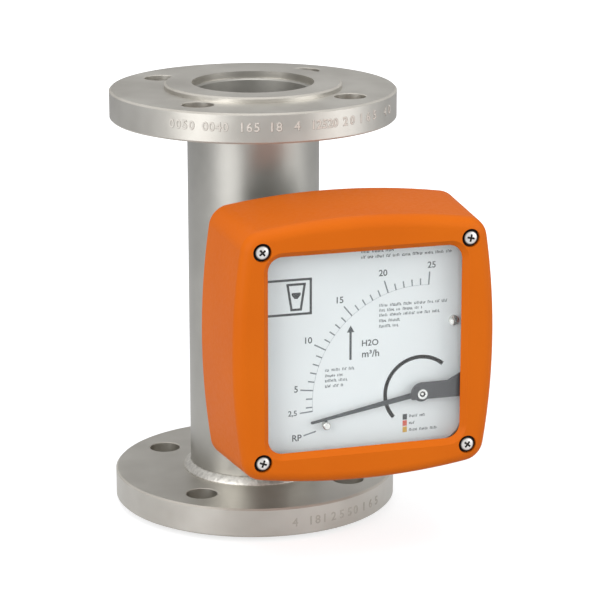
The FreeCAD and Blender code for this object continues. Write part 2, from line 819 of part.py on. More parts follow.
def hood_shell():
    outer = tapered(bulged_square(hood_half, hood_corner, hood_front),
                    bulged_square(hood_half + hood_draft, hood_corner, hood_back))
    outer = outer.makeFillet(hood_edge_radius, edges_where(outer, lambda edge: at_y(edge, hood_front)))
    inner = tapered(bulged_square(hood_half - hood_wall, hood_corner - hood_wall, hood_inside),
                    bulged_square(hood_half + hood_draft - hood_wall, hood_corner - hood_wall, hood_back))
    return outer.cut(inner)


def hood_bosses():
    # A tall boss with a web in each corner for the cover screws, four short ones for the window frame.
    root = hood_inside - boss_root
    room = extrude_y(bulged_square(hood_half - hood_wall + bite, hood_corner - hood_wall + bite, root),
                     hood_back - root)
    outwards = {(1, 1): -45, (1, -1): 45, (-1, -1): 135, (-1, 1): -135}
    bosses = []
    for p, q in corner_signs():
        u, v = p * screw_half, q * screw_half
        bosses.append(cylinder_y(cover_boss_radius, root, hood_back, u, v))
        web = block(u, u + 3 * cover_boss_radius, root, hood_back,
                    v - boss_web_thickness / 2, v + boss_web_thickness / 2)
        bosses.append(turned(web, outwards[(p, q)], u, v).common(room))
    for u, v in window_screw_places():
        bosses.append(cylinder_y(window_boss_radius, root, glass_back, u, v))
    return bosses


def hood():
    # The orange cap: bowed and drafted walls, a bevelled window opening, an open back.
    shell = hood_shell()
    for boss in hood_bosses():
        shell = shell.fuse(boss)
    bevel = tapered(rounded_square(window_half + window_bevel, window_corner + window_bevel, hood_front),
                    rounded_square(window_half, window_corner, hood_front + window_bevel))
    opening = extrude_y(rounded_square(window_half, window_corner, hood_front - past), hood_wall + 2 * past)
    shell = shell.cut(bevel).cut(opening)
    for p, q in corner_signs():
        u, v = p * screw_half, q * screw_half
        shell = shell.cut(cylinder_y(counterbore_radius, hood_front - past, counterbore_floor, u, v))
        shell = shell.cut(cylinder_y(cover_screw_clearance_hole / 2, hood_front, hood_back + past, u, v))
    blind = glass_back - window_screw_length - window_screw_blind
    hole = window_screw_diameter / 2 + thread_clearance
    for u, v in window_screw_places():
        shell = shell.cut(cylinder_y(hole, blind, glass_back + past, u, v))
    return shell.removeSplitter()


def cover_screws():
    # Pan heads sunk in the hood's corners, with a cross recess each.
    screws = []
    end = base_front + base_boss_hole_depth - cover_screw_end_clearance
    top = cover_head_seat - cover_screw_head_height - cover_screw_head_dome
    half = cover_screw_recess_width / 2
    arm = cover_screw_recess / 2
    turn = {(-1, -1): 20, (1, -1): 38, (1, 1): 12, (-1, 1): 52}
    for p, q in corner_signs():
        u, v = p * screw_half, q * screw_half
        screw = pan_head_screw(cover_screw_head / 2, cover_head_seat, cover_screw_head_height,
                               cover_screw_head_dome, cover_screw_diameter / 2, end, u, v)
        floor = top + cover_screw_recess_depth
        bars = [block(u - arm, u + arm, top - past, floor, v - half, v + half),
                block(u - half, u + half, top - past, floor, v - arm, v + arm)]
        for bar in bars:
            screw = screw.cut(turned(bar, turn[(p, q)], u, v))
        screws.append(screw)
    return Part.makeCompound(screws)


def cover_screw_seals():
    seals = []
    outer = counterbore_radius - cover_screw_seal_clearance
    inner = cover_screw_diameter / 2 + cover_screw_seal_clearance
    for p, q in corner_signs():
        u, v = p * screw_half, q * screw_half
        seal = cylinder_y(outer, cover_head_seat, counterbore_floor, u, v)
        seals.append(seal.cut(cylinder_y(inner, cover_head_seat, counterbore_floor, u, v)))
    return Part.makeCompound(seals)


def window_gasket():
    outer = extrude_y(rounded_square(glass_half, glass_corner, hood_inside), window_gasket_thickness)
    half = window_half + window_gasket_setback
    hole = rounded_square(half, window_corner + window_gasket_setback, hood_inside)
    return outer.cut(extrude_y(hole, window_gasket_thickness))


def window():
    return extrude_y(rounded_square(glass_half, glass_corner, glass_front), glass_thickness)


def window_frame():
    # A flat frame that holds the glass, with an ear over each short boss.
    frame = extrude_y(rounded_square(glass_half, glass_corner, glass_back), window_frame_thickness)
    inner = extrude_y(rounded_square(window_frame_inner_half, window_frame_inner_corner, glass_back),
                      window_frame_thickness)
    side = window_ear_radius
    near = window_frame_inner_half + bite
    hole = window_screw_diameter / 2 + thread_clearance
    for turn in range(4):
        ear = block(near, window_ear_from_centre, glass_back, window_frame_back, -side, side)
        frame = frame.fuse(turned(ear, 90 * turn, 0.0, 0.0))
    for u, v in window_screw_places():
        frame = frame.fuse(cylinder_y(side, glass_back, window_frame_back, u, v))
    frame = frame.cut(inner)
    for u, v in window_screw_places():
        frame = frame.cut(cylinder_y(hole, glass_back - past, window_frame_back + past, u, v))
    return frame.removeSplitter()


def window_frame_screws():
    # These point forwards, so their heads are behind the frame.
    head = window_screw_head / 2
    shank = window_screw_diameter / 2
    end = glass_back - window_screw_length
    top = window_frame_back + window_screw_head_height
    profile = [(0, end), (shank, end), (shank, window_frame_back), (head, window_frame_back),
               (head, top - screw_edge), (head - screw_edge, top), (0, top)]
    return Part.makeCompound([revolve_y(profile, u, v) for u, v in window_screw_places()])


def dial_outline(y):
    # A square plate whose corners are cut back to clear the hood's bosses.
    cut = dial_corner_sum - dial_half
    corners = []
    for turn in range(4):
        a = math.radians(90 * turn)
        c, s = round(math.cos(a)), round(math.sin(a))
        for p, q in ((-cut, dial_half), (cut, dial_half)):
            corners.append((c * p + s * q, -s * p + c * q))
    return polygon_y(corners, y)


def dial_slot():
    # The curved slot round the pointer's axis, with round ends.
    wide = slot_radius + slot_width / 2
    narrow = slot_radius - slot_width / 2
    middle = (slot_first_angle + slot_last_angle) / 2
    cap = math.degrees(slot_width / 2 / slot_radius)

    def at(angle, radius):
        u, v = polar(angle, radius)
        return point(u, dial_front - past, v)

    first, last = slot_first_angle + cap, slot_last_angle - cap
    edges = [Part.Arc(at(first, wide), at(middle, wide), at(last, wide)).toShape(),
             Part.Arc(at(last, wide), at(slot_last_angle, slot_radius), at(last, narrow)).toShape(),
             Part.Arc(at(last, narrow), at(middle, narrow), at(first, narrow)).toShape(),
             Part.Arc(at(first, narrow), at(slot_first_angle, slot_radius), at(first, wide)).toShape()]
    return extrude_y(Part.Wire(edges), dial_thickness + 2 * past)


def stop_pin_place():
    # The pin stands where the pointer's tab comes to rest on it.
    across = pointer_tab_length + stop_gap + stop_pin_radius
    reach = math.hypot(pointer_tab_at, across)
    return polar(pointer_rest_angle - math.degrees(math.atan2(across, pointer_tab_at)), reach)


def bridge_screw_places():
    middle = axis_v + bridge_end_radius / 2
    half = bridge_screw_spacing / 2
    return [(bridge_screw_u, middle - half), (bridge_screw_u, middle + half)]


def dial_screw_places():
    return [(dial_left_screw_u, dial_screw_v), (dial_right_screw_u, dial_screw_v)]


def dial_plate():
    plate = extrude_y(dial_outline(dial_front), dial_thickness)
    plate = plate.makeFillet(dial_corner, edges_where(plate, runs_along_y))
    holes = [(axis_hole / 2, axis_u, axis_v)]
    for u, v in dial_screw_places():
        holes.append((dial_screw_diameter / 2 + thread_clearance, u, v))
    pin_u, pin_v = stop_pin_place()
    holes.append((stop_pin_shank / 2 + thread_clearance, pin_u, pin_v))
    for u, v in bridge_screw_places():
        holes.append((bridge_screw_diameter / 2 + thread_clearance, u, v))
    for radius, u, v in holes:
        plate = plate.cut(cylinder_y(radius, dial_front - past, dial_back + past, u, v))
    return plate.cut(dial_slot())


def dial_posts():
    # Spacers from the base casting to the dial, drilled for the dial's screws.
    drill = dial_screw_diameter / 2 + thread_clearance
    depth = dial_back + dial_screw_length
    posts = []
    for u, v in dial_screw_places():
        post = cylinder_y(dial_post_radius, dial_back, base_front, u, v)
        posts.append(post.cut(cylinder_y(drill, dial_back - past, depth, u, v)))
    return Part.makeCompound(posts)


def dial_screws():
    screws = []
    top = dial_front - dial_screw_head_height - dial_screw_head_dome
    end = dial_back + dial_screw_length - dial_screw_blind
    for u, v in dial_screw_places():
        screw = pan_head_screw(dial_screw_head / 2, dial_front, dial_screw_head_height, dial_screw_head_dome,
                               dial_screw_diameter / 2, end, u, v)
        slot = block(u - dial_screw_head, u + dial_screw_head, top - past, top + dial_screw_slot_depth,
                     v - dial_screw_slot / 2, v + dial_screw_slot / 2)
        screws.append(screw.cut(turned(slot, dial_screw_slot_angle, u, v)))
    return Part.makeCompound(screws)


def stop_pin():
    u, v = stop_pin_place()
    top = pointer_front - stop_pin_above_pointer
    shank = stop_pin_shank / 2
    tail = dial_back + stop_pin_shank_length - dial_thickness
    head = stop_pin_radius
    return revolve_y([(0, top), (head - stop_pin_edge, top), (head, top + stop_pin_edge),
                      (head, dial_front), (shank, dial_front), (shank, tail), (0, tail)], u, v)


def pointer():
    # A tapered blade with a round eye, drawn pointing left and then turned to rest.
    root = pointer_root_width / 2
    tip = pointer_tip_width / 2
    corners = [(axis_u, axis_v - root), (axis_u, axis_v + root),
               (axis_u - pointer_length + tip, axis_v + tip), (axis_u - pointer_length + tip, axis_v - tip)]
    blade = extrude_y(polygon_y(corners, pointer_front), pointer_thickness)
    blade = blade.fuse(cylinder_y(tip, pointer_front, pointer_back, axis_u - pointer_length + tip, axis_v))
    blade = blade.fuse(cylinder_y(pointer_eye_radius, pointer_front, pointer_back, axis_u, axis_v))
    tab_u = axis_u - pointer_tab_at
    blade = blade.fuse(block(tab_u - pointer_tab_width / 2, tab_u + pointer_tab_width / 2,
                             pointer_front, pointer_back, axis_v - pointer_tab_length, axis_v))
    bore = hub_boss_radius + hub_fit
    blade = blade.cut(cylinder_y(bore, pointer_front - past, pointer_back + past, axis_u, axis_v))
    return turned(blade.removeSplitter(), pointer_rest_angle, axis_u, axis_v)


def pointer_hub():
    bore = shaft_radius + hub_fit / 2
    seat = pointer_front
    return revolve_y([(bore, hub_front), (hub_disc_radius, hub_front), (hub_disc_radius, seat),
                      (hub_boss_radius, seat), (hub_boss_radius, seat + hub_boss_length),
                      (bore, seat + hub_boss_length)], axis_u, axis_v)


def pointer_shaft():
    # Cone-pointed at the front bearing, plain at the rear one.
    front = bearing_front + shaft_point
    rear = mechanism_plate_back + shaft_rear_reach
    return revolve_y([(0, front), (shaft_radius - shaft_point, front), (shaft_radius, front + shaft_point),
                      (shaft_radius, rear), (0, rear)], axis_u, axis_v)


def bearing_bridge():
    # A folded strap: its round end holds the bearing over the pointer, its foot is on the dial.
    edge = bridge_leg_u - axis_u
    drop = -bridge_drop
    rise = bridge_end_radius + math.tan(math.radians(bridge_slope_angle)) * (edge - bridge_kink)
    first = math.pi + math.asin(bridge_drop / bridge_end_radius)

    def at(p, q):
        return point(axis_u + p, bridge_front, axis_v + q)

    def on_end(angle):
        return at(bridge_end_radius * math.cos(angle), bridge_end_radius * math.sin(angle))

    round_end = Part.Arc(on_end(first), on_end((first + math.pi / 2) / 2), on_end(math.pi / 2)).toShape()
    rest = Part.makePolygon([on_end(math.pi / 2), at(bridge_kink, bridge_end_radius), at(edge, rise),
                             at(edge, drop), on_end(first)])
    strap = extrude_y(Part.Wire([round_end] + rest.Edges), bridge_thickness)
    leg = block(bridge_leg_u - bridge_thickness, bridge_leg_u, bridge_front, dial_front,
                axis_v + drop, axis_v + rise)
    foot = block(bridge_leg_u - bridge_thickness, bridge_foot_end_u,
                 dial_front - bridge_thickness, dial_front, axis_v + drop, axis_v + rise)
    strap = strap.fuse(leg).fuse(foot)
    seat = bearing_radius + bearing_fit
    strap = strap.cut(cylinder_y(seat, bridge_front - past, bridge_back + past, axis_u, axis_v))
    hole = bridge_screw_diameter / 2 + thread_clearance
    for u, v in bridge_screw_places():
        strap = strap.cut(cylinder_y(hole, bridge_back, dial_front + past, u, v))
    return strap.removeSplitter()


def bridge_screws():
    seat = dial_front - bridge_thickness
    return Part.makeCompound([
        pan_head_screw(bridge_screw_head / 2, seat, bridge_screw_head_height, bridge_screw_head_dome,
                       bridge_screw_diameter / 2, seat + bridge_screw_length, u, v)
        for u, v in bridge_screw_places()])


def front_bearing():
    # A bright bush with an oil sink round the shaft's point.
    hole = shaft_radius + shaft_running_clearance
    return revolve_y([(hole, bearing_front + bearing_oil_sink_depth),
                      (bearing_oil_sink_radius, bearing_front), (bearing_radius, bearing_front),
                      (bearing_radius, bridge_back), (hole, bridge_back)], axis_u, axis_v)


def mechanism_corners():
    across = mechanism_plate_half_width - mechanism_post_inset
    up = mechanism_plate_half_height - mechanism_post_inset
    return [(mechanism_plate_centre_u + p * across, axis_v + q * up) for p, q in corner_signs()]


def mechanism_plate():
    # The plate that carries the rear bearing and the brake.
    plate = block(mechanism_plate_centre_u - mechanism_plate_half_width,
                  mechanism_plate_centre_u + mechanism_plate_half_width,
                  mechanism_plate_y, mechanism_plate_back,
                  axis_v - mechanism_plate_half_height, axis_v + mechanism_plate_half_height)
    plate = plate.makeFillet(mechanism_plate_corner, edges_where(plate, runs_along_y))
    holes = [(rear_bearing_radius + bearing_fit, axis_u, axis_v)]
    for u, v in mechanism_corners():
        holes.append((mechanism_screw_diameter / 2 + thread_clearance, u, v))
    for radius, u, v in holes:
        plate = plate.cut(cylinder_y(radius, mechanism_plate_y - past, mechanism_plate_back + past, u, v))
    return plate


def mechanism_posts():
    drill = mechanism_screw_diameter / 2 + thread_clearance
    depth = mechanism_plate_y + mechanism_screw_length + mechanism_screw_blind
    posts = []
    for u, v in mechanism_corners():
        post = cylinder_y(mechanism_post_radius, mechanism_plate_back, pocket_floor, u, v)
        posts.append(post.cut(cylinder_y(drill, mechanism_plate_back - past, depth, u, v)))
    return Part.makeCompound(posts)


def mechanism_screws():
    end = mechanism_plate_y + mechanism_screw_length
    return Part.makeCompound([
        pan_head_screw(mechanism_screw_head / 2, mechanism_plate_y, mechanism_screw_head_height,
                       mechanism_screw_head_dome, mechanism_screw_diameter / 2, end, u, v)
        for u, v in mechanism_corners()])


def rear_bearing():
    hole = shaft_radius + shaft_running_clearance
    flange_front = mechanism_plate_y - rear_bearing_flange_thickness
    return revolve_y([(hole, flange_front), (rear_bearing_flange, flange_front),
                      (rear_bearing_flange, mechanism_plate_y), (rear_bearing_radius, mechanism_plate_y),
                      (rear_bearing_radius, mechanism_plate_back), (hole, mechanism_plate_back)],
                     axis_u, axis_v)


def damping_disc():
    bore = shaft_radius + hub_fit / 2
    disc_back = disc_front + damping_disc_thickness
    hub_back = disc_back + damping_hub_length
    return revolve_y([(bore, disc_front), (damping_disc_radius, disc_front), (damping_disc_radius, disc_back),
                      (damping_hub_radius, disc_back), (damping_hub_radius, hub_back), (bore, hub_back)],
                     axis_u, axis_v)


def brake_faces():
    # Where the two brake magnets face the disc, front then rear.
    front = disc_front - brake_air_gap
    rear = disc_front + damping_disc_thickness + brake_air_gap
    return front, rear


def brake_yoke():
    # A steel clip open towards the shaft, standing on the mechanism plate.
    front, rear = brake_faces()
    front_jaw = front - brake_magnet_thickness - brake_yoke_thickness
    rear_jaw = rear + brake_magnet_thickness
    pillar_near = axis_u - damping_disc_radius - brake_yoke_disc_gap
    pillar_far = pillar_near - brake_yoke_thickness
    jaw_end = axis_u - brake_reach + brake_magnet_radius
    low, high = axis_v - brake_yoke_width / 2, axis_v + brake_yoke_width / 2
    pillar = block(pillar_far, pillar_near, front_jaw, mechanism_plate_y, low, high)
    for y in (front_jaw, rear_jaw):
        pillar = pillar.fuse(block(pillar_far, jaw_end, y, y + brake_yoke_thickness, low, high))
    return pillar.removeSplitter()


def brake_magnets():
    front, rear = brake_faces()
    u = axis_u - brake_reach
    return Part.makeCompound([
        cylinder_y(brake_magnet_radius, front - brake_magnet_thickness, front, u, axis_v),
        cylinder_y(brake_magnet_radius, rear, rear + brake_magnet_thickness, u, axis_v)])


def magnet_carrier():
    # The arm that carries the counterweight, with the hub that the follower magnet sits on.
    bore = shaft_radius + hub_fit / 2
    arm_back = carrier_front + carrier_arm_thickness
    far = axis_u + counterweight_reach
    arm = block(axis_u, far, carrier_front, arm_back,
                axis_v - carrier_arm_width / 2, axis_v + carrier_arm_width / 2)
    arm = arm.fuse(cylinder_y(carrier_arm_width / 2, carrier_front, arm_back, far, axis_v))
    hub_back = carrier_front + carrier_hub_length
    arm = arm.fuse(cylinder_y(carrier_hub_radius, carrier_front, hub_back, axis_u, axis_v))
    arm = arm.cut(cylinder_y(bore, carrier_front - past, hub_back + past, axis_u, axis_v))
    return turned(arm.removeSplitter(), pointer_rest_angle, axis_u, axis_v)


def follower_magnet():
    # A bar magnet across the shaft, on the carrier's hub.
    front = carrier_front + carrier_arm_thickness
    back = front + follower_thickness
    bar = block(axis_u - follower_width / 2, axis_u + follower_width / 2, front, back,
                axis_v - follower_length / 2, axis_v + follower_length / 2)
    bar = bar.cut(cylinder_y(carrier_hub_radius + hub_fit, front - past, back + past, axis_u, axis_v))
    return turned(bar, pointer_rest_angle, axis_u, axis_v)


def counterweight():
    front = carrier_front + carrier_arm_thickness
    weight = cylinder_y(counterweight_radius, front, front + counterweight_length,
                        axis_u + counterweight_reach, axis_v)
    return turned(weight, pointer_rest_angle, axis_u, axis_v)


def pipe_run():
    guide_low = lower_shoulder - guide_height
    return {
        "lower_flange": flange(0.0, 1),
        "upper_flange": flange(face_to_face, -1),
        "measuring_tube": measuring_tube(),
        "lower_weld": weld_bead(0.0, 1),
        "upper_weld": weld_bead(face_to_face, -1),
        "metering_cone": metering_cone(),
        "lower_guide": guide_star(guide_low),
        "upper_guide": guide_star(upper_shoulder),
        "lower_guide_bush": guide_bush(guide_low, True),
        "upper_guide_bush": guide_bush(upper_shoulder, False),
        "lower_snap_ring": snap_ring(guide_low - snap_ring_thickness),
        "upper_snap_ring": snap_ring(upper_shoulder + guide_height),
    }


def float_assembly():
    return {
        "float_rod": float_rod(),
        "float_body": float_body(),
        "float_magnet": float_magnet(),
        "float_cap": float_cap(),
        "lower_stop_sleeve": stop_sleeve(lower_stop_bottom, float_bottom),
        "upper_stop_sleeve": stop_sleeve(float_top, upper_stop_top),
    }


def housing():
    return {
        "mounting_bracket": mounting_bracket(),
        "bracket_weld": bracket_weld(),
        "bracket_screws": bracket_screws(),
        "base_plate": base_plate(),
        "hood_gasket": hood_gasket(),
        "hood": hood(),
        "cover_screws": cover_screws(),
        "cover_screw_seals": cover_screw_seals(),
        "window_gasket": window_gasket(),
        "window": window(),
        "window_frame": window_frame(),
        "window_frame_screws": window_frame_screws(),
    }


def dial_group():
    return {
        "dial_plate": dial_plate(),
        "dial_posts": dial_posts(),
        "dial_screws": dial_screws(),
        "stop_pin": stop_pin(),
        "bearing_bridge": bearing_bridge(),
        "bridge_screws": bridge_screws(),
        "front_bearing": front_bearing(),
        "mechanism_plate": mechanism_plate(),
        "mechanism_posts": mechanism_posts(),
        "mechanism_screws": mechanism_screws(),
        "rear_bearing": rear_bearing(),
        "brake_yoke": brake_yoke(),
        "brake_magnets": brake_magnets(),
    }


def pointer_assembly():
    return {
        "pointer": pointer(),
        "pointer_hub": pointer_hub(),
        "pointer_shaft": pointer_shaft(),
        "damping_disc": damping_disc(),
        "magnet_carrier": magnet_carrier(),
        "follower_magnet": follower_magnet(),
        "counterweight": counterweight(),
    }


def main():
    os.makedirs("parts", exist_ok=True)
    for group in (pipe_run, float_assembly, housing, dial_group, pointer_assembly):
        for name, shape in group().items():
            if not shape.isValid():
                print("not valid:", name)
            shape.exportStep(os.path.join("parts", name + ".step"))
            print(name, "solids", len(shape.Solids), "volume", round(shape.Volume, 1))


main()
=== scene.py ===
import json
import math
import random

import bmesh
import bpy
from mathutils import Matrix, Vector, noise


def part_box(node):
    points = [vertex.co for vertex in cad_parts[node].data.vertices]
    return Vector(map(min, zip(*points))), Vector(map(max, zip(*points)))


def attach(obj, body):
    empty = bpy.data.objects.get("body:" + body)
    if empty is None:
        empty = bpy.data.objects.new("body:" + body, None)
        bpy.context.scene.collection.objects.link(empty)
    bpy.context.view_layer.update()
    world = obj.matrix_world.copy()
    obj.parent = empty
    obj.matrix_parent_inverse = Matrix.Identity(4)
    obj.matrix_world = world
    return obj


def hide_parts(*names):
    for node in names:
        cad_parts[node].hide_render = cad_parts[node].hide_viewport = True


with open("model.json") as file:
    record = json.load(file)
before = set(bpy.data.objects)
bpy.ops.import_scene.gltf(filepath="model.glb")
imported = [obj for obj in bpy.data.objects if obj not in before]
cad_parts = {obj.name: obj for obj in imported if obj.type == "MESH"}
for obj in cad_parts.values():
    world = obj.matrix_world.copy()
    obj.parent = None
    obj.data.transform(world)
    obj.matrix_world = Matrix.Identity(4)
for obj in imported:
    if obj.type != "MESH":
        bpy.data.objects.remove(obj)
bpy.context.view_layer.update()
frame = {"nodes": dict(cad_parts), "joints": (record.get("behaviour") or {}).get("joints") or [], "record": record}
nodes = frame["nodes"]
mm = 0.001  # the sizes below are written in millimetres and multiplied by this


# Places read from the frame

hoodLow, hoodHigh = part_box("hood")
hoodCentre = ((hoodLow.x + hoodHigh.x) / 2, (hoodLow.z + hoodHigh.z) / 2)
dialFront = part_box("dial_plate")[0].y
pointerAxis = next(Vector(joint["pos_m"]) for joint in frame["joints"] if joint["name"] == "pointer_swing")
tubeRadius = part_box("measuring_tube")[1].x
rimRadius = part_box("upper_flange")[1].x
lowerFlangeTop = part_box("lower_flange")[1].z
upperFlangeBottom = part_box("upper_flange")[0].z
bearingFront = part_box("front_bearing")[0].y
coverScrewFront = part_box("cover_screws")[0].y


# Small helpers

noiseLow, noiseHigh = 0.3, 0.7  # nearly all of a noise's values lie between these
mixShare, mixFrom, mixTo, mixResult = 0, 6, 7, 2  # the colour sockets of a Mix node


def colour(code):
    # An sRGB hex colour as the linear values that the shaders take.
    parts = [int(code[k:k + 2], 16) / 255 for k in (1, 3, 5)]
    return tuple(c / 12.92 if c <= 0.04045 else ((c + 0.055) / 1.055) ** 2.4 for c in parts) + (1.0,)


def addNode(tree, kind, settings=None, links=None, stops=None):
    # settings fill options by name and sockets by name or number, links join sockets to outputs,
    # stops are a ramp's places and colours.
    node = tree.nodes.new(kind)
    for name, value in (settings or {}).items():
        if isinstance(name, str) and hasattr(node, name):
            setattr(node, name, value)
        else:
            node.inputs[name].default_value = value
    for name, source in (links or {}).items():
        tree.links.new(source, node.inputs[name])
    for index, (at, value) in enumerate(stops or []):
        stop = node.color_ramp.elements[index] if index < 2 else node.color_ramp.elements.new(at)
        stop.position = at
        stop.color = colour(value)
    return node


def newMaterial(name):
    material = bpy.data.materials.new(name)
    material.use_nodes = True
    tree = material.node_tree
    tree.nodes.clear()
    output = addNode(tree, "ShaderNodeOutputMaterial")
    place = addNode(tree, "ShaderNodeTexCoord").outputs["Object"]
    return material, tree, output, place


def pieceFrom(name, body, bm, material, smooth=False):
    # A new piece: its mesh already stands in place, its object stays at the origin.
    mesh = bpy.data.meshes.new(name)
    bm.to_mesh(mesh)
    bm.free()
    for polygon in mesh.polygons:
        polygon.use_smooth = smooth
    mesh.materials.append(material)
    piece = bpy.data.objects.new(name, mesh)
    bpy.context.scene.collection.objects.link(piece)
    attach(piece, body)
    return piece


# Materials

def steelMaterial(look):
    # Metal with blurred reflections: cloudy tone from pickling or plating, fine grain or brush lines.
    material, tree, output, place = newMaterial(look["name"])
    cloud = addNode(tree, "ShaderNodeTexNoise",
                    {"Scale": 1000 / look["cloudSize"], "Detail": 3.0, "Roughness": 0.55}, {"Vector": place})
    tone = addNode(tree, "ShaderNodeValToRGB", links={"Fac": cloud.outputs["Fac"]},
                   stops=[(0.34, look["dark"]), (0.66, look["light"])])
    rough = addNode(tree, "ShaderNodeMapRange",
                    {"From Min": noiseLow, "From Max": noiseHigh, "To Min": look["roughness"][0],
                     "To Max": look["roughness"][1]}, {"Value": cloud.outputs["Fac"]})
    stretch = addNode(tree, "ShaderNodeMapping", {"Scale": look["grainStretch"]}, {"Vector": place})
    grain = addNode(tree, "ShaderNodeTexNoise",
                    {"Scale": 1000 / look["grainSize"], "Detail": 2.0}, {"Vector": stretch.outputs["Vector"]})
    bump = addNode(tree, "ShaderNodeBump", {"Strength": look["bump"], "Distance": look["bumpDepth"] * mm},
                   {"Height": grain.outputs["Fac"]})
    shader = addNode(tree, "ShaderNodeBsdfPrincipled", {"Metallic": 1.0},
                     {"Base Color": tone.outputs["Color"], "Roughness": rough.outputs["Result"],
                      "Normal": bump.outputs["Normal"]})
    tree.links.new(shader.outputs["BSDF"], output.inputs["Surface"])
    return material


# how level a turned surface is, as the upright part of its normal
turnedLevels = {"rim": 0.8, "face": 0.98, "edge": 0.7, "edgeReach": 0.15}


def turnedMaterial(look):
    # Metal from the lathe: rings round the pipe's axis on its faces, level lines on its rims.
    t = turnedLevels
    material, tree, output, place = newMaterial(look["name"])
    cloud = addNode(tree, "ShaderNodeTexNoise",
                    {"Scale": 1000 / look["cloudSize"], "Detail": 3.0, "Roughness": 0.6}, {"Vector": place})
    tone = addNode(tree, "ShaderNodeValToRGB", links={"Fac": cloud.outputs["Fac"]},
                   stops=[(0.34, look["dark"]), (0.66, look["light"])])
    rough = addNode(tree, "ShaderNodeMapRange",
                    {"From Min": noiseLow, "From Max": noiseHigh, "To Min": look["roughness"][0],
                     "To Max": look["roughness"][1]}, {"Value": cloud.outputs["Fac"]})
    # the facing cut is coarser than the cut along the rim
    way = addNode(tree, "ShaderNodeSeparateXYZ",
                  links={"Vector": addNode(tree, "ShaderNodeNewGeometry").outputs["Normal"]})
    level = addNode(tree, "ShaderNodeMath", {"operation": "ABSOLUTE"}, {0: way.outputs["Z"]})
    coarse = addNode(tree, "ShaderNodeMapRange",
                     {"From Min": t["rim"], "From Max": t["face"], "To Max": look.get("faceRoughness", 0.0)},
                     {"Value": level.outputs["Value"]})
    # an edge between the two is filed over
    edge = addNode(tree, "ShaderNodeMath", {"operation": "COMPARE", 1: t["edge"], 2: t["edgeReach"]},
                   {0: level.outputs["Value"]})
    coarse = addNode(tree, "ShaderNodeMath", {"operation": "MULTIPLY_ADD", 1: look.get("edgeRoughness", 0.0)},
                     {0: edge.outputs["Value"], 2: coarse.outputs["Result"]})
    rough = addNode(tree, "ShaderNodeMath", {"operation": "ADD"},
                    {0: rough.outputs["Result"], 1: coarse.outputs["Value"]})
    parts = addNode(tree, "ShaderNodeSeparateXYZ", links={"Vector": place})
    flat = addNode(tree, "ShaderNodeCombineXYZ", links={"X": parts.outputs["X"], "Y": parts.outputs["Y"]})
    radius = addNode(tree, "ShaderNodeVectorMath", {"operation": "LENGTH"},
                     {"Vector": flat.outputs["Vector"]})
    steps = addNode(tree, "ShaderNodeCombineXYZ",
                    links={"X": radius.outputs["Value"], "Y": parts.outputs["Z"]})
    lines = addNode(tree, "ShaderNodeTexNoise",
                    {"Scale": 1000 / look["feed"], "Detail": 2.0}, {"Vector": steps.outputs["Vector"]})
    bump = addNode(tree, "ShaderNodeBump", {"Strength": look["bump"], "Distance": look["bumpDepth"] * mm},
                   {"Height": lines.outputs["Fac"]})
    shader = addNode(tree, "ShaderNodeBsdfPrincipled", {"Metallic": 1.0},
                     {"Base Color": tone.outputs["Color"], "Roughness": rough.outputs["Value"],
                      "Normal": bump.outputs["Normal"]})
    tree.links.new(shader.outputs["BSDF"], output.inputs["Surface"])
    return material


def coatMaterial(look):
    # A coat or a moulded surface: even colour with a faint cloud, fine surface texture, a soft gloss.
    material, tree, output, place = newMaterial(look["name"])
    cloud = addNode(tree, "ShaderNodeTexNoise",
                    {"Scale": 1000 / look["cloudSize"], "Detail": 2.0}, {"Vector": place})
    tone = addNode(tree, "ShaderNodeValToRGB", links={"Fac": cloud.outputs["Fac"]},
                   stops=[(noiseLow, look["dark"]), (noiseHigh, look["light"])])
    peel = addNode(tree, "ShaderNodeTexNoise",
                   {"Scale": 1000 / look["textureSize"], "Detail": 2.0}, {"Vector": place})
    rough = addNode(tree, "ShaderNodeMapRange",
                    {"From Min": noiseLow, "From Max": noiseHigh, "To Min": look["roughness"][0],
                     "To Max": look["roughness"][1]}, {"Value": peel.outputs["Fac"]})
    bump = addNode(tree, "ShaderNodeBump", {"Strength": look["bump"], "Distance": look["bumpDepth"] * mm},
                   {"Height": peel.outputs["Fac"]})
    tint = tone.outputs["Color"]
    if "paintedEdgeShade" in look:
        # everything behind the coated front, the slot's walls among it, is painted dark as shade
        cut = look["paintedEdgeShade"]
        parts = addNode(tree, "ShaderNodeSeparateXYZ", links={"Vector": place})
        behind = addNode(tree, "ShaderNodeMath",
                         {"operation": "GREATER_THAN", 1: cut["front"] + cut["coat"] * mm},
                         {0: parts.outputs["Y"]})
        mixed = addNode(tree, "ShaderNodeMix", {"data_type": "RGBA", mixTo: colour(cut["tone"])},
                        {mixShare: behind.outputs["Value"], mixFrom: tint})
        tint = mixed.outputs[mixResult]
    shader = addNode(tree, "ShaderNodeBsdfPrincipled",
                     {"IOR": look.get("ior", 1.5), "Specular IOR Level": look.get("specular", 0.5)},
                     {"Base Color": tint, "Roughness": rough.outputs["Result"],
                      "Normal": bump.outputs["Normal"]})
    tree.links.new(shader.outputs["BSDF"], output.inputs["Surface"])
    return material


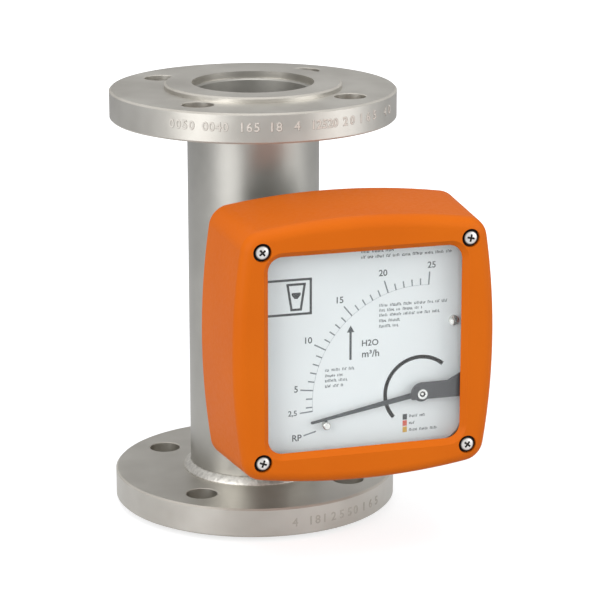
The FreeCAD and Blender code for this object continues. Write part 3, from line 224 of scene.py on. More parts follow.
def recessedMaterial(look):
    # Bright metal that turns dark below a set depth behind its front: the shade in a recess is painted into its
    # colour.
    material, tree, output, place = newMaterial(look["name"])
    cloud = addNode(tree, "ShaderNodeTexNoise",
                    {"Scale": 1000 / look["cloudSize"], "Detail": 3.0}, {"Vector": place})
    tone = addNode(tree, "ShaderNodeValToRGB", links={"Fac": cloud.outputs["Fac"]},
                   stops=[(0.34, look["dark"]), (0.66, look["light"])])
    centred = addNode(tree, "ShaderNodeMapping", {"Location": look["moveBy"]}, {"Vector": place})
    parts = addNode(tree, "ShaderNodeSeparateXYZ", links={"Vector": centred.outputs["Vector"]})
    deep = addNode(tree, "ShaderNodeMapRange",
                   {"From Min": look["depths"][0] * mm, "From Max": look["depths"][1] * mm},
                   {"Value": parts.outputs["Y"]})
    mixed = addNode(tree, "ShaderNodeMix", {"data_type": "RGBA", mixTo: colour(look["recess"])},
                    {mixShare: deep.outputs["Result"], mixFrom: tone.outputs["Color"]})
    rough = addNode(tree, "ShaderNodeMapRange",
                    {"To Min": look["roughness"][0], "To Max": look["roughness"][1]},
                    {"Value": deep.outputs["Result"]})
    shader = addNode(tree, "ShaderNodeBsdfPrincipled", {"Metallic": 1.0},
                     {"Base Color": mixed.outputs[mixResult], "Roughness": rough.outputs["Result"]})
    tree.links.new(shader.outputs["BSDF"], output.inputs["Surface"])
    return material


def glassMaterial(look):
    # Clear float glass: lamp light passes through it to the dial, and its faces keep a clean reflection.
    material, tree, output, place = newMaterial(look["name"])
    smear = addNode(tree, "ShaderNodeTexNoise", {"Scale": 1000 / look["smearSize"], "Detail": 2.0},
                    {"Vector": place})
    rough = addNode(tree, "ShaderNodeMapRange",
                    {"To Min": look["roughness"][0], "To Max": look["roughness"][1]},
                    {"Value": smear.outputs["Fac"]})
    pane = addNode(tree, "ShaderNodeBsdfPrincipled",
                   {"Base Color": colour(look["tint"]), "IOR": 1.5, "Transmission Weight": 1.0},
                   {"Roughness": rough.outputs["Result"]})
    clear = addNode(tree, "ShaderNodeBsdfTransparent", {"Color": colour(look["tint"])})
    path = addNode(tree, "ShaderNodeLightPath")
    lampRay = addNode(tree, "ShaderNodeMath", {"operation": "MAXIMUM"},
                      {0: path.outputs["Is Shadow Ray"], 1: path.outputs["Is Diffuse Ray"]})
    mix = addNode(tree, "ShaderNodeMixShader",
                  links={0: lampRay.outputs["Value"], 1: pane.outputs["BSDF"], 2: clear.outputs["BSDF"]})
    tree.links.new(mix.outputs["Shader"], output.inputs["Surface"])
    return material


slotLooks = {
    # 316L forgings, faces and rims turned, then pickled: satin grey with faint level tool lines
    "flange_steel": (turnedMaterial, {
        "name": "turnedStainlessForging", "dark": "#C5C1B9", "light": "#D4D1CA", "cloudSize": 45,
        "roughness": (0.34, 0.42), "faceRoughness": 0.04, "edgeRoughness": 0.35, "feed": 0.5, "bump": 0.18,
        "bumpDepth": 0.05}),
    # 316L welded tube, pickled and lightly blasted: matt, cloudy, with faint streaks along it
    "tube_steel": (steelMaterial, {
        "name": "pickledStainlessTube", "dark": "#B2B0AA", "light": "#C0BEB8", "cloudSize": 40,
        "roughness": (0.36, 0.44), "grainSize": 1.2, "grainStretch": (1, 1, 0.12), "bump": 0.12,
        "bumpDepth": 0.04}),
    # weld metal, brushed: brighter than the tube, with a fine sugary grain
    "weld_steel": (steelMaterial, {
        "name": "brushedWeldMetal", "dark": "#D6D3CC", "light": "#EFECE5", "cloudSize": 2,
        "roughness": (0.37, 0.5), "grainSize": 0.7, "grainStretch": (1, 1, 1), "bump": 0.8, "bumpDepth": 0.16}),
    # bored 316L: matt, with rings from the boring bar
    "insert_steel": (turnedMaterial, {
        "name": "boredStainless", "dark": "#B0AEA8", "light": "#C0BEB8", "cloudSize": 30,
        "roughness": (0.48, 0.6), "feed": 0.4, "bump": 0.25, "bumpDepth": 0.04}),
    # turned PTFE: waxy white
    "guide_bush": (coatMaterial, {
        "name": "turnedPtfe", "dark": "#E2E0D8", "light": "#EEECE5", "cloudSize": 8, "textureSize": 0.6,
        "roughness": (0.4, 0.5), "bump": 0.15, "bumpDepth": 0.03, "ior": 1.38}),
    # spring steel, oiled black-grey
    "spring_steel": (steelMaterial, {
        "name": "oiledSpringSteel", "dark": "#56544F", "light": "#6A6862", "cloudSize": 10,
        "roughness": (0.3, 0.4), "grainSize": 0.8, "grainStretch": (1, 1, 1), "bump": 0.15, "bumpDepth": 0.03}),
    # fine turned 316L
    "float_steel": (turnedMaterial, {
        "name": "fineTurnedStainless", "dark": "#BAB8B2", "light": "#CAC8C2", "cloudSize": 30,
        "roughness": (0.2, 0.28), "feed": 0.3, "bump": 0.2, "bumpDepth": 0.03}),
    # sintered magnet: dark, faintly grainy
    "magnet": (coatMaterial, {
        "name": "sinteredMagnet", "dark": "#2E2E30", "light": "#3B3B3D", "cloudSize": 5, "textureSize": 0.5,
        "roughness": (0.45, 0.6), "bump": 0.3, "bumpDepth": 0.04}),
    # cold rolled stainless strip, folded and pickled
    "bracket_steel": (steelMaterial, {
        "name": "foldedStainlessStrip", "dark": "#ACA9A2", "light": "#BAB7B0", "cloudSize": 30,
        "roughness": (0.36, 0.46), "grainSize": 1.0, "grainStretch": (0.1, 1, 1), "bump": 0.12,
        "bumpDepth": 0.03}),
    # bright nickel plated screws
    "fastener_steel": (steelMaterial, {
        "name": "nickelPlatedSteel", "dark": "#CBC9C5", "light": "#DEDCD8", "cloudSize": 4,
        "roughness": (0.2, 0.3), "grainSize": 0.6, "grainStretch": (1, 1, 1), "bump": 0.1, "bumpDepth": 0.02}),
    # die cast aluminium with a light grey textured powder coat
    "base_casting": (coatMaterial, {
        "name": "greyPowderCoatedCasting", "dark": "#B2B5B4", "light": "#BCBFBE", "cloudSize": 60,
        "textureSize": 1.4, "roughness": (0.45, 0.55), "bump": 0.25, "bumpDepth": 0.05}),
    # orange powder coat: smooth, with a faint orange peel that softens every highlight
    "hood_coat": (coatMaterial, {
        "name": "orangePowderCoat", "dark": "#D26511", "light": "#D76A12", "cloudSize": 70, "textureSize": 2.2,
        "roughness": (0.4, 0.48), "bump": 0.16, "bumpDepth": 0.06, "specular": 0.07}),
    # moulded black rubber
    "seal_rubber": (coatMaterial, {
        "name": "mouldedRubber", "dark": "#141414", "light": "#1C1C1C", "cloudSize": 8, "textureSize": 0.6,
        "roughness": (0.55, 0.7), "bump": 0.3, "bumpDepth": 0.03, "specular": 0.3}),
    # zinc plated sheet: cool grey, faintly mottled
    "frame_steel": (steelMaterial, {
        "name": "zincPlatedSheet", "dark": "#8C8D8D", "light": "#A3A4A3", "cloudSize": 7,
        "roughness": (0.3, 0.42), "grainSize": 1.0, "grainStretch": (1, 1, 1), "bump": 0.15, "bumpDepth": 0.03}),
    # aluminium sheet, coated white: clean and satin
    "dial_plate": (coatMaterial, {
        "name": "whiteCoatedSheet", "dark": "#EEF0F1", "light": "#F3F5F6", "cloudSize": 60, "textureSize": 0.8,
        "roughness": (0.36, 0.44), "bump": 0.05, "bumpDepth": 0.02,
        # its edges and back behind the coated front are painted dark as shade
        "paintedEdgeShade": {"front": dialFront, "coat": 0.06, "tone": "#232527"}}),
    # turned brass
    "post_brass": (steelMaterial, {
        "name": "turnedBrass", "dark": "#B0904C", "light": "#C5A55F", "cloudSize": 9,
        "roughness": (0.24, 0.34), "grainSize": 0.6, "grainStretch": (1, 0.1, 1), "bump": 0.15,
        "bumpDepth": 0.02}),
    # stamped sheet with a dark grey matt coat
    "bridge_coat": (coatMaterial, {
        "name": "greyMattCoatedSheet", "dark": "#39393C", "light": "#404043", "cloudSize": 12,
        "textureSize": 0.7, "roughness": (0.45, 0.55), "bump": 0.2, "bumpDepth": 0.03}),
    # thin sheet pointer, dark grey matt coat
    "pointer_coat": (coatMaterial, {
        "name": "darkMattCoatedSheet", "dark": "#33373A", "light": "#3B3F42", "cloudSize": 12,
        "textureSize": 0.7, "roughness": (0.42, 0.52), "bump": 0.15, "bumpDepth": 0.02}),
    # ground bush steel, with dark oil and painted shade in its sink
    "bearing_steel": (recessedMaterial, {
        "name": "groundBushSteel", "dark": "#CFCECB", "light": "#DEDDDA", "cloudSize": 4, "recess": "#1E1D1B",
        "roughness": (0.22, 0.4), "depths": (0.02, 0.2), "moveBy": (0, -bearingFront, 0)}),
    # rolled aluminium sheet
    "disc_aluminium": (steelMaterial, {
        "name": "rolledAluminiumSheet", "dark": "#C2C3C4", "light": "#D2D3D4", "cloudSize": 12,
        "roughness": (0.26, 0.36), "grainSize": 0.8, "grainStretch": (1, 1, 0.1), "bump": 0.12,
        "bumpDepth": 0.02}),
    # float glass, 3 mm
    "window_glass": (glassMaterial, {
        "name": "floatGlass", "tint": "#FAFCFC", "smearSize": 30, "roughness": (0.0, 0.03)}),
}
# nickel plated screw heads, whose cross recesses are painted dark as shade
coverScrewLook = {
    "name": "nickelPlatedScrewHead", "dark": "#EAE8E5", "light": "#F6F4F1", "cloudSize": 4, "recess": "#4A4644",
    "roughness": (0.34, 0.5), "depths": (0.4, 0.75), "moveBy": (0, -coverScrewFront, 0)}


def makeMaterials():
    made = {slot: maker(look) for slot, (maker, look) in slotLooks.items()}
    coverScrewMetal = recessedMaterial(coverScrewLook)
    for subpart in frame["record"]["subparts"]:
        for materialSlot in nodes[subpart["node"]].material_slots:
            materialSlot.material = made[subpart["material_slot"]]
    for materialSlot in nodes["cover_screws"].material_slots:
        materialSlot.material = coverScrewMetal
    return made


materials = makeMaterials()
print("materials on the CAD nodes:", len(materials))


# Weld beads

weldSettings = {
    "leg": 4.4, "rise": 4.4, "crown": 0.4, "steps": 480, "points": 9, "clear": 0.02,
    "ripples": 150, "rippleDepth": 0.02, "rippleSlant": 0.9, "lumpSize": 1.3, "lumpDepth": 0.16,
    # ripples and lumps grow over fadeIn from tube and flange, and push out and up in equal shares
    "fadeIn": 0.8, "leastShare": 0.02, "slopeShare": 0.7,
}


def weldBead(name, node, foot, upwards):
    # The bead's convex section spun round the tube, then roughened as a brushed hand weld is.
    s = weldSettings
    root = tubeRadius + s["clear"] * mm
    bm = bmesh.new()
    section = []
    for k in range(s["points"]):
        share = k / (s["points"] - 1)
        swell = s["crown"] * math.sin(math.pi * share) * math.sqrt(0.5)
        flat = s["leg"] * (1 - share) + swell
        high = s["rise"] * share + swell
        section.append(bm.verts.new((root + flat * mm, 0.0, foot + upwards * high * mm)))
    section.append(bm.verts.new((root, 0.0, foot)))
    ring = [bm.edges.new((section[k], section[(k + 1) % len(section)])) for k in range(len(section))]
    bmesh.ops.spin(bm, geom=section + ring, cent=(0, 0, 0), axis=(0, 0, 1), angle=math.tau, steps=s["steps"],
                   use_merge=True)
    for vert in bm.verts:
        out = math.hypot(vert.co.x, vert.co.y)
        high = abs(vert.co.z - foot)
        share = min(out - root, high) / (s["fadeIn"] * mm)
        if share <= s["leastShare"]:
            continue
        around = math.atan2(vert.co.y, vert.co.x)
        wave = s["rippleDepth"] * math.cos(s["ripples"] * around + high / mm * s["rippleSlant"])
        lump = s["lumpDepth"] * noise.noise(vert.co / (s["lumpSize"] * mm))
        push = min(share, 1) * (wave + lump) * mm * s["slopeShare"]
        vert.co.x *= (out + push) / out
        vert.co.y *= (out + push) / out
        vert.co.z += upwards * push
    bmesh.ops.recalc_face_normals(bm, faces=bm.faces)
    bead = pieceFrom(name, "meter_body", bm, materials["weld_steel"], smooth=True)
    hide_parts(node)


weldBead("lowerWeldBead", "lower_weld", lowerFlangeTop, 1)
weldBead("upperWeldBead", "upper_weld", upperFlangeBottom, -1)
print("weld beads")


# Dial print

printSettings = {"thickness": 0.03, "lift": 0.01, "bold": 0.014, "arcSteps": 48}


def onDial(u, v):
    # A point of the print, in millimetres right and up from the hood's centre.
    return Vector((hoodCentre[0] + u * mm, dialFront - printSettings["lift"] * mm, hoodCentre[1] + v * mm))


def addPlate(bm, centre, length, width, angle):
    # A thin printed bar: its length lies along angle, in degrees anticlockwise seen from the front.
    turn = Matrix.Rotation(math.radians(-angle), 4, "Y")
    size = Matrix.Diagonal((length * mm, printSettings["thickness"] * mm, width * mm, 1.0))
    bmesh.ops.create_cube(bm, size=1.0, matrix=Matrix.Translation(centre) @ turn @ size)


def addText(bm, words, centre, height, depth, bold=0.0, slope=0.0):
    # Letters made a mesh, centred on a point and facing forwards. A slope rounds the strokes' edges.
    curve = bpy.data.curves.new("letters", "FONT")
    curve.body = words
    curve.size = 1.0
    curve.extrude = 0.5 - slope
    curve.bevel_depth = slope
    curve.bevel_resolution = 1 if slope else 0
    curve.offset = bold - slope
    curve.resolution_u = 4
    holder = bpy.data.objects.new("letters", curve)
    bpy.context.scene.collection.objects.link(holder)
    bpy.context.view_layer.update()
    mesh = bpy.data.meshes.new_from_object(holder)
    bpy.data.objects.remove(holder)
    xs = [vert.co.x for vert in mesh.vertices]
    ys = [vert.co.y for vert in mesh.vertices]
    middle = Vector(((min(xs) + max(xs)) / 2, (min(ys) + max(ys)) / 2, 0))
    grow = height * mm / (max(ys) - min(ys))
    mesh.transform(Matrix.Translation(-middle))
    mesh.transform(Matrix.Diagonal((grow, grow, depth * mm, 1.0)))
    mesh.transform(Matrix.Translation(centre) @ Matrix.Rotation(math.radians(90), 4, "X"))
    bm.from_mesh(mesh)
    bpy.data.meshes.remove(mesh)


def addOutline(bm, points):
    # A flat shape on the dial, cut from its outline and given the print's thickness.
    face = bm.faces.new([bm.verts.new(onDial(u, v)) for u, v in points])
    grown = bmesh.ops.extrude_face_region(bm, geom=[face])
    moved = [item for item in grown["geom"] if isinstance(item, bmesh.types.BMVert)]
    bmesh.ops.translate(bm, verts=moved, vec=(0, -printSettings["thickness"] * mm, 0))
    bmesh.ops.recalc_face_normals(bm, faces=bm.faces)


def addArc(bm, centre, radius, width, first, last):
    # A thin flat band round a centre, its angles measured as the scale's are.
    a = math.radians(first)
    out = Vector((-math.cos(a), 0, math.sin(a)))
    front = Vector((0, -printSettings["thickness"] / 2 * mm, 0))
    corners = [bm.verts.new(centre + out * (radius + width / 2 * p) * mm + front * q)
               for p, q in ((-1, -1), (1, -1), (1, 1), (-1, 1))]
    bmesh.ops.spin(bm, geom=[bm.faces.new(corners)], cent=centre, axis=(0, 1, 0),
                   angle=math.radians(last - first), steps=printSettings["arcSteps"])
    bmesh.ops.recalc_face_normals(bm, faces=bm.faces)


# angles are in degrees, from the dial's left and upwards
scaleSettings = {
    "centre": (0.24, -1.33), "innerRadius": 62.0, "majorLength": 7.3, "minorLength": 3.7,
    "restAngle": -14.9, "degreesPerUnit": 4.35, "majors": [0, 2.5, 5, 10, 15, 20, 25],
    "firstMinor": 3, "lastValue": 25, "arcFrom": 2.5,
    "majorWidth": 0.75, "minorWidth": 0.72, "arcWidth": 0.18,
}


def scalePoint(radius, angle):
    # A point on the dial, measured from the middle of the scale's circle.
    s = scaleSettings
    a = math.radians(angle)
    centre = Vector((pointerAxis.x + s["centre"][0] * mm, dialFront - printSettings["lift"] * mm,
                     pointerAxis.z + s["centre"][1] * mm))
    return centre + Vector((-radius * mm * math.cos(a), 0, radius * mm * math.sin(a)))


def scaleAngle(value):
    return scaleSettings["restAngle"] + scaleSettings["degreesPerUnit"] * value


def dialScale():
    # Ticks, with long ones at the numbered values.
    s = scaleSettings
    bm = bmesh.new()
    minors = [v for v in range(s["firstMinor"], s["lastValue"]) if v not in s["majors"]]
    for value in s["majors"] + minors:
        kind = "major" if value in s["majors"] else "minor"
        length = s[kind + "Length"]
        angle = scaleAngle(value)
        addPlate(bm, scalePoint(s["innerRadius"] + length / 2, angle), length, s[kind + "Width"], 180 - angle)
    return bm


def dialHairline():
    # The thin line that joins the inner ends of the ticks.
    s = scaleSettings
    bm = bmesh.new()
    addArc(bm, scalePoint(0, 0), s["innerRadius"], s["arcWidth"], scaleAngle(s["arcFrom"]),
           scaleAngle(s["lastValue"]))
    return bm


slotSettings = {"radius": 20.03, "width": 1.6, "first": -41.5, "last": 131.3, "edge": 0.3}


def dialSlotEdge():
    # The dark line printed along both sides of the curved slot.
    s = slotSettings
    bm = bmesh.new()
    centre = Vector((pointerAxis.x, dialFront - printSettings["lift"] * mm, pointerAxis.z))
    for side in (-1, 1):
        radius = s["radius"] + side * (s["width"] + s["edge"]) / 2
        addArc(bm, centre, radius, s["edge"], s["first"], s["last"])
    return bm


# each word with its middle, right and up, and its height
dialWords = [("25", 40.4, 42.2, 3.6), ("20", 12.6, 39.6, 3.6), ("15", -11.8, 26.3, 3.6),
             ("10", -29.5, 5.1, 3.6), ("5", -36.6, -21.9, 3.6), ("2,5", -38.6, -35.7, 3.6),
             ("RP", -36.1, -49.6, 3.6), ("H2O", 5.5, 1.0, 3.5), ("m³/h", 5.8, -5.1, 4.0)]


def dialNumbers():
    s = printSettings
    bm = bmesh.new()
    for words, u, v, height in dialWords:
        addText(bm, words, onDial(u, v), height, s["thickness"], s["bold"])
    return bm


arrowSettings = {"u": -5.7, "foot": -7.8, "tip": 11.5, "stemWidth": 1.25, "headHalf": 2.1, "headLength": 3.8}


def dialArrow():
    # The arrow that shows the way of the flow.
    a = arrowSettings
    neck = a["tip"] - a["headLength"]
    stem = a["stemWidth"] / 2
    outline = [(-stem, a["foot"]), (stem, a["foot"]), (stem, neck), (a["headHalf"], neck), (0, a["tip"]),
               (-a["headHalf"], neck), (-stem, neck)]
    bm = bmesh.new()
    addOutline(bm, [(a["u"] + p, v) for p, v in outline])
    return bm


# where each line of small print starts, right and up, and its length
smallPrint = {
    "rightBlock": [(10.8, 21.5, 38.6), (10.8, 18.7, 24.2), (10.8, 15.9, 34.6), (10.8, 12.8, 11.5),
                   (10.8, 9.7, 10.4)],
    "leftBlock": [(-19.9, -12.6, 16.0), (-19.9, -15.8, 11.4), (-19.9, -18.6, 12.6), (-19.9, -21.7, 10.2)],
    "heading": [(0.3, 52.2, 19.3), (0.3, 49.1, 51.6)],
    "besideFields": [(28.6, -42.9, 9.0), (28.6, -46.9, 4.0), (28.6, -50.9, 16.0)],
}
# a word is a row of upright strokes; crossShare of them have a short level stroke beside them
strokeSettings = {"pitch": 0.82, "stroke": 0.37, "height": 1.5, "tall": (0.7, 1.0), "wordLength": (3, 8),
                  "wordGap": 1.2, "crossShare": 0.55, "crossHeights": (-0.42, 0.0, 0.42), "crossAt": 0.35,
                  "crossLength": 0.7, "seed": 11}


def dialSmallPrint(places):
    # Lines of tiny strokes that look like small print from a step away and spell nothing.
    s = strokeSettings
    draw = random.Random(s["seed"])
    bm = bmesh.new()
    for place in places:
        for u, v, length in smallPrint[place]:
            at = u
            word = draw.randint(*s["wordLength"])
            while at < u + length:
                tall = s["height"] * draw.uniform(*s["tall"])
                addPlate(bm, onDial(at, v + (tall - s["height"]) / 2), s["stroke"], tall, 0)
                if draw.random() < s["crossShare"]:
                    high = draw.choice(s["crossHeights"]) * s["height"]
                    addPlate(bm, onDial(at + s["pitch"] * s["crossAt"], v + high),
                             s["pitch"] * s["crossLength"], s["stroke"], 0)
                at += s["pitch"]
                word -= 1
                if word == 0:
                    at += s["wordGap"]
                    word = draw.randint(*s["wordLength"])
    return bm


# floatShape is in float half widths from the tube's middle and float heights above floatV
emblemSettings = {
    "left": -53.5, "right": -28.3, "low": 20.3, "high": 39.4, "line": 1.3,
    "tubeU": -36.5, "tubeHalfLow": 2.6, "tubeHalfHigh": 4.8, "tubeLow": 22.8, "tubeHigh": 36.8,
    "floatV": 28.8, "floatHalf": 2.5, "floatHeight": 3.4,
    "floatShape": [(-0.35, 0), (0.35, 0), (1.0, 0.62), (1.0, 1.0), (-1.0, 1.0), (-1.0, 0.62)],
}


def dialEmblem():
    # A plain frame with the drawing sign for a variable-area meter: a tapering tube and its float.
    e = emblemSettings
    bm = bmesh.new()
    midU, midV = (e["left"] + e["right"]) / 2, (e["low"] + e["high"]) / 2
    wide, tall = e["right"] - e["left"], e["high"] - e["low"]
    for v in (e["low"], e["high"]):
        addPlate(bm, onDial(midU, v), wide + e["line"], e["line"], 0)
    for u in (e["left"], e["right"]):
        addPlate(bm, onDial(u, midV), tall, e["line"], 90)
    for side in (-1, 1):
        low = Vector((e["tubeU"] + side * e["tubeHalfLow"], e["tubeLow"]))
        high = Vector((e["tubeU"] + side * e["tubeHalfHigh"], e["tubeHigh"]))
        middle, run = (low + high) / 2, high - low
        addPlate(bm, onDial(middle.x, middle.y), run.length, e["line"], math.degrees(math.atan2(run.y, run.x)))
    for v, half in ((e["tubeLow"], e["tubeHalfLow"]), (e["tubeHigh"], e["tubeHalfHigh"])):
        addPlate(bm, onDial(e["tubeU"], v), 2 * half + e["line"], e["line"], 0)
    addOutline(bm, [(e["tubeU"] + p * e["floatHalf"], e["floatV"] + q * e["floatHeight"])
                    for p, q in e["floatShape"]])
    return bm


fieldSettings = {"u": 25.9, "width": 2.5, "height": 3.2,
                 "fields": [("darkField", -43.2, "#3A3A3C"), ("redField", -46.8, "#D9604A"),
                            ("yellowField", -50.4, "#DDAA3C")]}


def dialField(v):
    f = fieldSettings
    bm = bmesh.new()
    addPlate(bm, onDial(f["u"], v), f["width"], f["height"], 0)
    return bm


def inkMaterial(name, dark, light):
    # Screen printing ink: thin and satin, a little uneven in tone.
    return coatMaterial({"name": name, "dark": dark, "light": light, "cloudSize": 3, "textureSize": 0.5,
                         "roughness": (0.4, 0.5), "bump": 0.05, "bumpDepth": 0.01, "specular": 0.3})


def printPiece(name, bm, ink):
    pieceFrom(name, "meter_body", bm, ink)


blackInk = inkMaterial("blackScreenInk", "#1E2022", "#282A2C")
darkInk = inkMaterial("darkScreenInk", "#3A3E41", "#464A4D")
greyInk = inkMaterial("greyScreenInk", "#72777B", "#7E8387")
hairInk = inkMaterial("hairlineScreenInk", "#9DA2A6", "#A9AEB2")
paleInk = inkMaterial("paleScreenInk", "#4C5156", "#585D62")

printPiece("dialScale", dialScale(), greyInk)
printPiece("dialNumbers", dialNumbers(), darkInk)
printPiece("dialHairline", dialHairline(), hairInk)
printPiece("dialSlotEdge", dialSlotEdge(), blackInk)
printPiece("dialArrow", dialArrow(), darkInk)
printPiece("dialHeading", dialSmallPrint(["heading"]), blackInk)
printPiece("dialSmallPrint", dialSmallPrint(["rightBlock", "leftBlock", "besideFields"]), paleInk)
printPiece("dialEmblem", dialEmblem(), blackInk)
for fieldName, fieldV, fieldColour in fieldSettings["fields"]:
    printPiece(fieldName, dialField(fieldV), inkMaterial(fieldName + "Ink", fieldColour, fieldColour))
print("dial print")


# Numbers stamped into the flange rims: only plain sizes of the flange, such as its bore and its bolt circle

stampSettings = {
    "height": 5.0, "sink": 0.02, "boldGrowth": 1.4,
    # a painted shadow round each stroke, set a little to the right and down, then the stroke itself
    "edge": {"depth": 0.07, "bold": 0.05, "slope": 0.0, "turn": 0.1, "fall": 0.1},
    "stroke": {"depth": 0.3, "bold": 0.012, "slope": 0.028, "turn": 0.0, "fall": 0.0},
    # words, then the angles of their first and last digit, from the front towards the right
    "upper": {"z": 239.5, "groups": [("0050", -48.5, -39.8), ("0040", -34.3, -26.4), ("165 18", -20.0, -5.8),
                                     ("4", 1.2, 1.2), ("12520", 7.8, 17.4), ("20", 22.2, 25.8),
                                     ("165 40", 30.6, 52.5)]},
    "lower": {"z": 11.0, "groups": [("4", 0.3, 0.3), ("18", 7.0, 10.0), ("125", 13.2, 21.4), ("50", 25.6, 29.0),
                                    ("165", 34.0, 43.0)]},
}


def stampedNumbers(name, line, layer, material):
    # Each digit lies on the rim at its own angle and follows the rim's curve.
    s = stampSettings
    height = s["height"] * (1 + s["boldGrowth"] * layer["bold"])
    bm = bmesh.new()
    for words, first, last in line["groups"]:
        for index, letter in enumerate(words):
            if letter == " ":
                continue
            turn = math.radians(first + (last - first) * index / max(len(words) - 1, 1) + layer["turn"])
            digit = bmesh.new()
            addText(digit, letter, Vector((0, 0, 0)), height, layer["depth"], layer["bold"], layer["slope"])
            place = (Matrix.Rotation(turn, 4, "Z") @ Matrix.Translation(
                (0, -rimRadius + s["sink"] * mm, (line["z"] - layer["fall"]) * mm)))
            bmesh.ops.transform(digit, matrix=place, verts=digit.verts)
            for vert in digit.verts:
                flat = math.hypot(vert.co.x, vert.co.y)
                bent = flat * math.cos(math.atan2(vert.co.x, -vert.co.y) - turn)
                vert.co.x *= bent / flat
                vert.co.y *= bent / flat
            mesh = bpy.data.meshes.new("digit")
            digit.to_mesh(mesh)
            digit.free()
            bm.from_mesh(mesh)
            bpy.data.meshes.remove(mesh)
    pieceFrom(name, "meter_body", bm, material)


def struckSteel(name, dark, light, roughness):
    # Steel that a punch has spread: duller than the turned rim.
    return steelMaterial({"name": name, "dark": dark, "light": light, "cloudSize": 3, "roughness": roughness,
                          "grainSize": 0.8, "grainStretch": (1, 1, 1), "bump": 0.3, "bumpDepth": 0.05})


# darker steel laid round the strokes as a painted shadow
grooveSteel = struckSteel("paintedStampShadow", "#A49F97", "#B2ADA5", (0.45, 0.55))
strokeSteel = struckSteel("struckStainlessStroke", "#D8D5CF", "#E6E3DE", (0.75, 0.9))
wornSteel = struckSteel("wornStruckStainless", "#B4AFA7", "#C0BCB4", (0.5, 0.6))
stampedNumbers("upperStampShadows", stampSettings["upper"], stampSettings["edge"], grooveSteel)
stampedNumbers("upperStampedNumbers", stampSettings["upper"], stampSettings["stroke"], strokeSteel)
stampedNumbers("lowerStampedNumbers", stampSettings["lower"], stampSettings["stroke"], wornSteel)
print("stamped numbers")


# Studio

studio = {
    "target": (25.8, -7.8, 120.4), "camera": (-388.1, -1377.7, 505.2), "lens": 151.66, "sensor": 36.0,
    "clipEnd": 50.0,
    # the room goes from behind to front between two cosines of the angle to the camera's side
    "room": {"behind": 0.42, "front": 0.78, "turn": (-0.35, 0.75), "white": 1.0},
    # near and far are distances in metres from the middle, white and gloss how bright the floor is there
    "floor": {"size": 24.0, "paper": "#BDBEC0", "near": 0.15, "far": 1.4, "whiteNear": 0.66, "whiteFar": 1.0,
              "glossNear": 0.26, "glossFar": 0.05},
}
lampSettings = [
    # turn is measured from the dial's front towards the right, in degrees; the rest is in metres and watts
    {"name": "leftSoftbox", "turn": -58.0, "height": 0.55, "distance": 1.5, "size": (1.0, 1.5), "power": 12.9},
    {"name": "rightSoftbox", "turn": 55.0, "height": 0.5, "distance": 1.6, "size": (1.15, 1.4), "power": 10.6},
    {"name": "topSoftbox", "turn": -20.0, "height": 1.9, "distance": 0.5, "size": (1.4, 1.4), "power": 10.0},
    {"name": "backSoftbox", "turn": 175.0, "height": 1.7, "distance": 0.9, "size": (1.4, 1.0), "power": 4.6},
]


def makeLamps():
    for setting in lampSettings:
        lamp = bpy.data.lights.new(setting["name"], "AREA")
        lamp.shape = "RECTANGLE"
        lamp.size, lamp.size_y = setting["size"]
        lamp.energy = setting["power"]
        holder = bpy.data.objects.new(setting["name"], lamp)
        turn = math.radians(setting["turn"])
        holder.location = (setting["distance"] * math.sin(turn), -setting["distance"] * math.cos(turn),
                           setting["height"])
        aim = Vector(studio["target"]) * mm - holder.location
        holder.rotation_euler = aim.to_track_quat("-Z", "Y").to_euler()
        holder.visible_camera = False
        bpy.context.scene.collection.objects.link(holder)


def makeRoom():
    # A pale room, brighter on the camera's side. A ray from the camera sees plain white.
    r = studio["room"]
    world = bpy.data.worlds.new("studioRoom")
    bpy.context.scene.world = world
    world.cycles.sampling_method = "NONE"
    world.use_nodes = True
    tree = world.node_tree
    tree.nodes.clear()
    output = addNode(tree, "ShaderNodeOutputWorld")
    way = addNode(tree, "ShaderNodeTexCoord")
    toCamera = (Vector(studio["camera"]) * Vector((1, 1, 0))).normalized()
    facing = addNode(tree, "ShaderNodeVectorMath", {"operation": "DOT_PRODUCT", 1: toCamera},
                     {0: way.outputs["Generated"]})
    room = addNode(tree, "ShaderNodeMapRange",
                   {"interpolation_type": "SMOOTHSTEP", "From Min": r["turn"][0], "From Max": r["turn"][1],
                    "To Min": r["behind"], "To Max": r["front"]}, {"Value": facing.outputs["Value"]})
    path = addNode(tree, "ShaderNodeLightPath")
    strength = addNode(tree, "ShaderNodeMapRange", {"To Max": r["white"]},
                       {"Value": path.outputs["Is Camera Ray"], "To Min": room.outputs["Result"]})
    wall = addNode(tree, "ShaderNodeBackground", {"Color": (1, 1, 1, 1)},
                   {"Strength": strength.outputs["Result"]})
    tree.links.new(wall.outputs["Background"], output.inputs["Surface"])


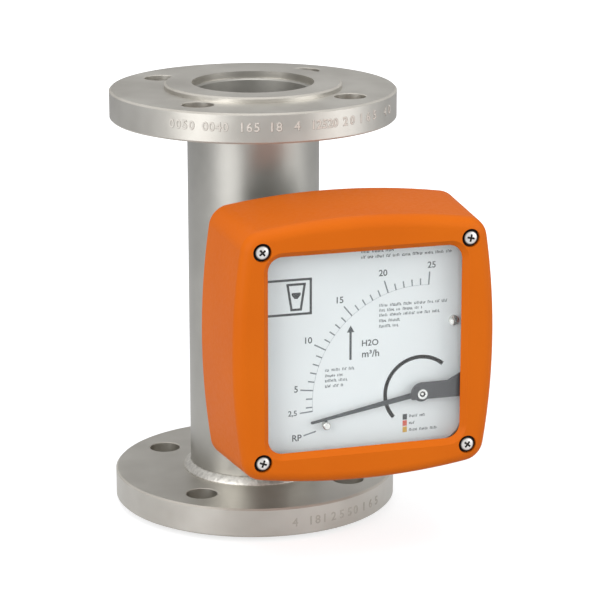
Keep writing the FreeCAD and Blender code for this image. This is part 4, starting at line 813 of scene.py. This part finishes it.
def floorMaterial():
    # Pale paper floor: it takes the object's shadow and goes white away from it. Metal sees it dimmer.
    f = studio["floor"]
    material, tree, output, place = newMaterial("paleFloorPaper")
    material.cycles.emission_sampling = "NONE"
    distance = addNode(tree, "ShaderNodeVectorMath", {"operation": "LENGTH"}, {"Vector": place})
    white = addNode(tree, "ShaderNodeMapRange",
                    {"From Min": f["near"], "From Max": f["far"], "To Min": f["whiteNear"],
                     "To Max": f["whiteFar"]}, {"Value": distance.outputs["Value"]})
    gloss = addNode(tree, "ShaderNodeMapRange",
                    {"From Min": f["near"], "From Max": f["far"], "To Min": f["glossNear"],
                     "To Max": f["glossFar"]}, {"Value": distance.outputs["Value"]})
    path = addNode(tree, "ShaderNodeLightPath")
    seen = addNode(tree, "ShaderNodeMath", {"operation": "MAXIMUM"},
                   {0: path.outputs["Is Camera Ray"], 1: path.outputs["Is Transmission Ray"]})
    direct = addNode(tree, "ShaderNodeMath", {"operation": "MULTIPLY"},
                     {0: white.outputs["Result"], 1: seen.outputs["Value"]})
    mirrored = addNode(tree, "ShaderNodeMath", {"operation": "MULTIPLY"},
                       {0: gloss.outputs["Result"], 1: path.outputs["Is Glossy Ray"]})
    strength = addNode(tree, "ShaderNodeMath", {"operation": "ADD"},
                       {0: direct.outputs["Value"], 1: mirrored.outputs["Value"]})
    glow = addNode(tree, "ShaderNodeEmission", {"Color": (1, 1, 1, 1)},
                   {"Strength": strength.outputs["Value"]})
    paper = addNode(tree, "ShaderNodeBsdfDiffuse", {"Color": colour(f["paper"])})
    both = addNode(tree, "ShaderNodeAddShader", links={0: glow.outputs["Emission"], 1: paper.outputs["BSDF"]})
    tree.links.new(both.outputs["Shader"], output.inputs["Surface"])
    return material


def makeFloor():
    bm = bmesh.new()
    bmesh.ops.create_grid(bm, x_segments=1, y_segments=1, size=studio["floor"]["size"] / 2)
    mesh = bpy.data.meshes.new("floor")
    bm.to_mesh(mesh)
    bm.free()
    mesh.materials.append(floorMaterial())
    floor = bpy.data.objects.new("floor", mesh)
    bpy.context.scene.collection.objects.link(floor)


def makeCamera():
    view = bpy.data.cameras.new("camera")
    view.sensor_width = studio["sensor"]
    view.lens = studio["lens"]
    view.clip_end = studio["clipEnd"]
    camera = bpy.data.objects.new("camera", view)
    camera.location = Vector(studio["camera"]) * mm
    look = Vector(studio["target"]) * mm - camera.location
    camera.rotation_euler = look.to_track_quat("-Z", "Y").to_euler()
    bpy.context.scene.collection.objects.link(camera)
    bpy.context.scene.camera = camera
    bpy.context.scene.view_settings.view_transform = "Standard"


makeLamps()
makeRoom()
makeFloor()
makeCamera()
print("studio")
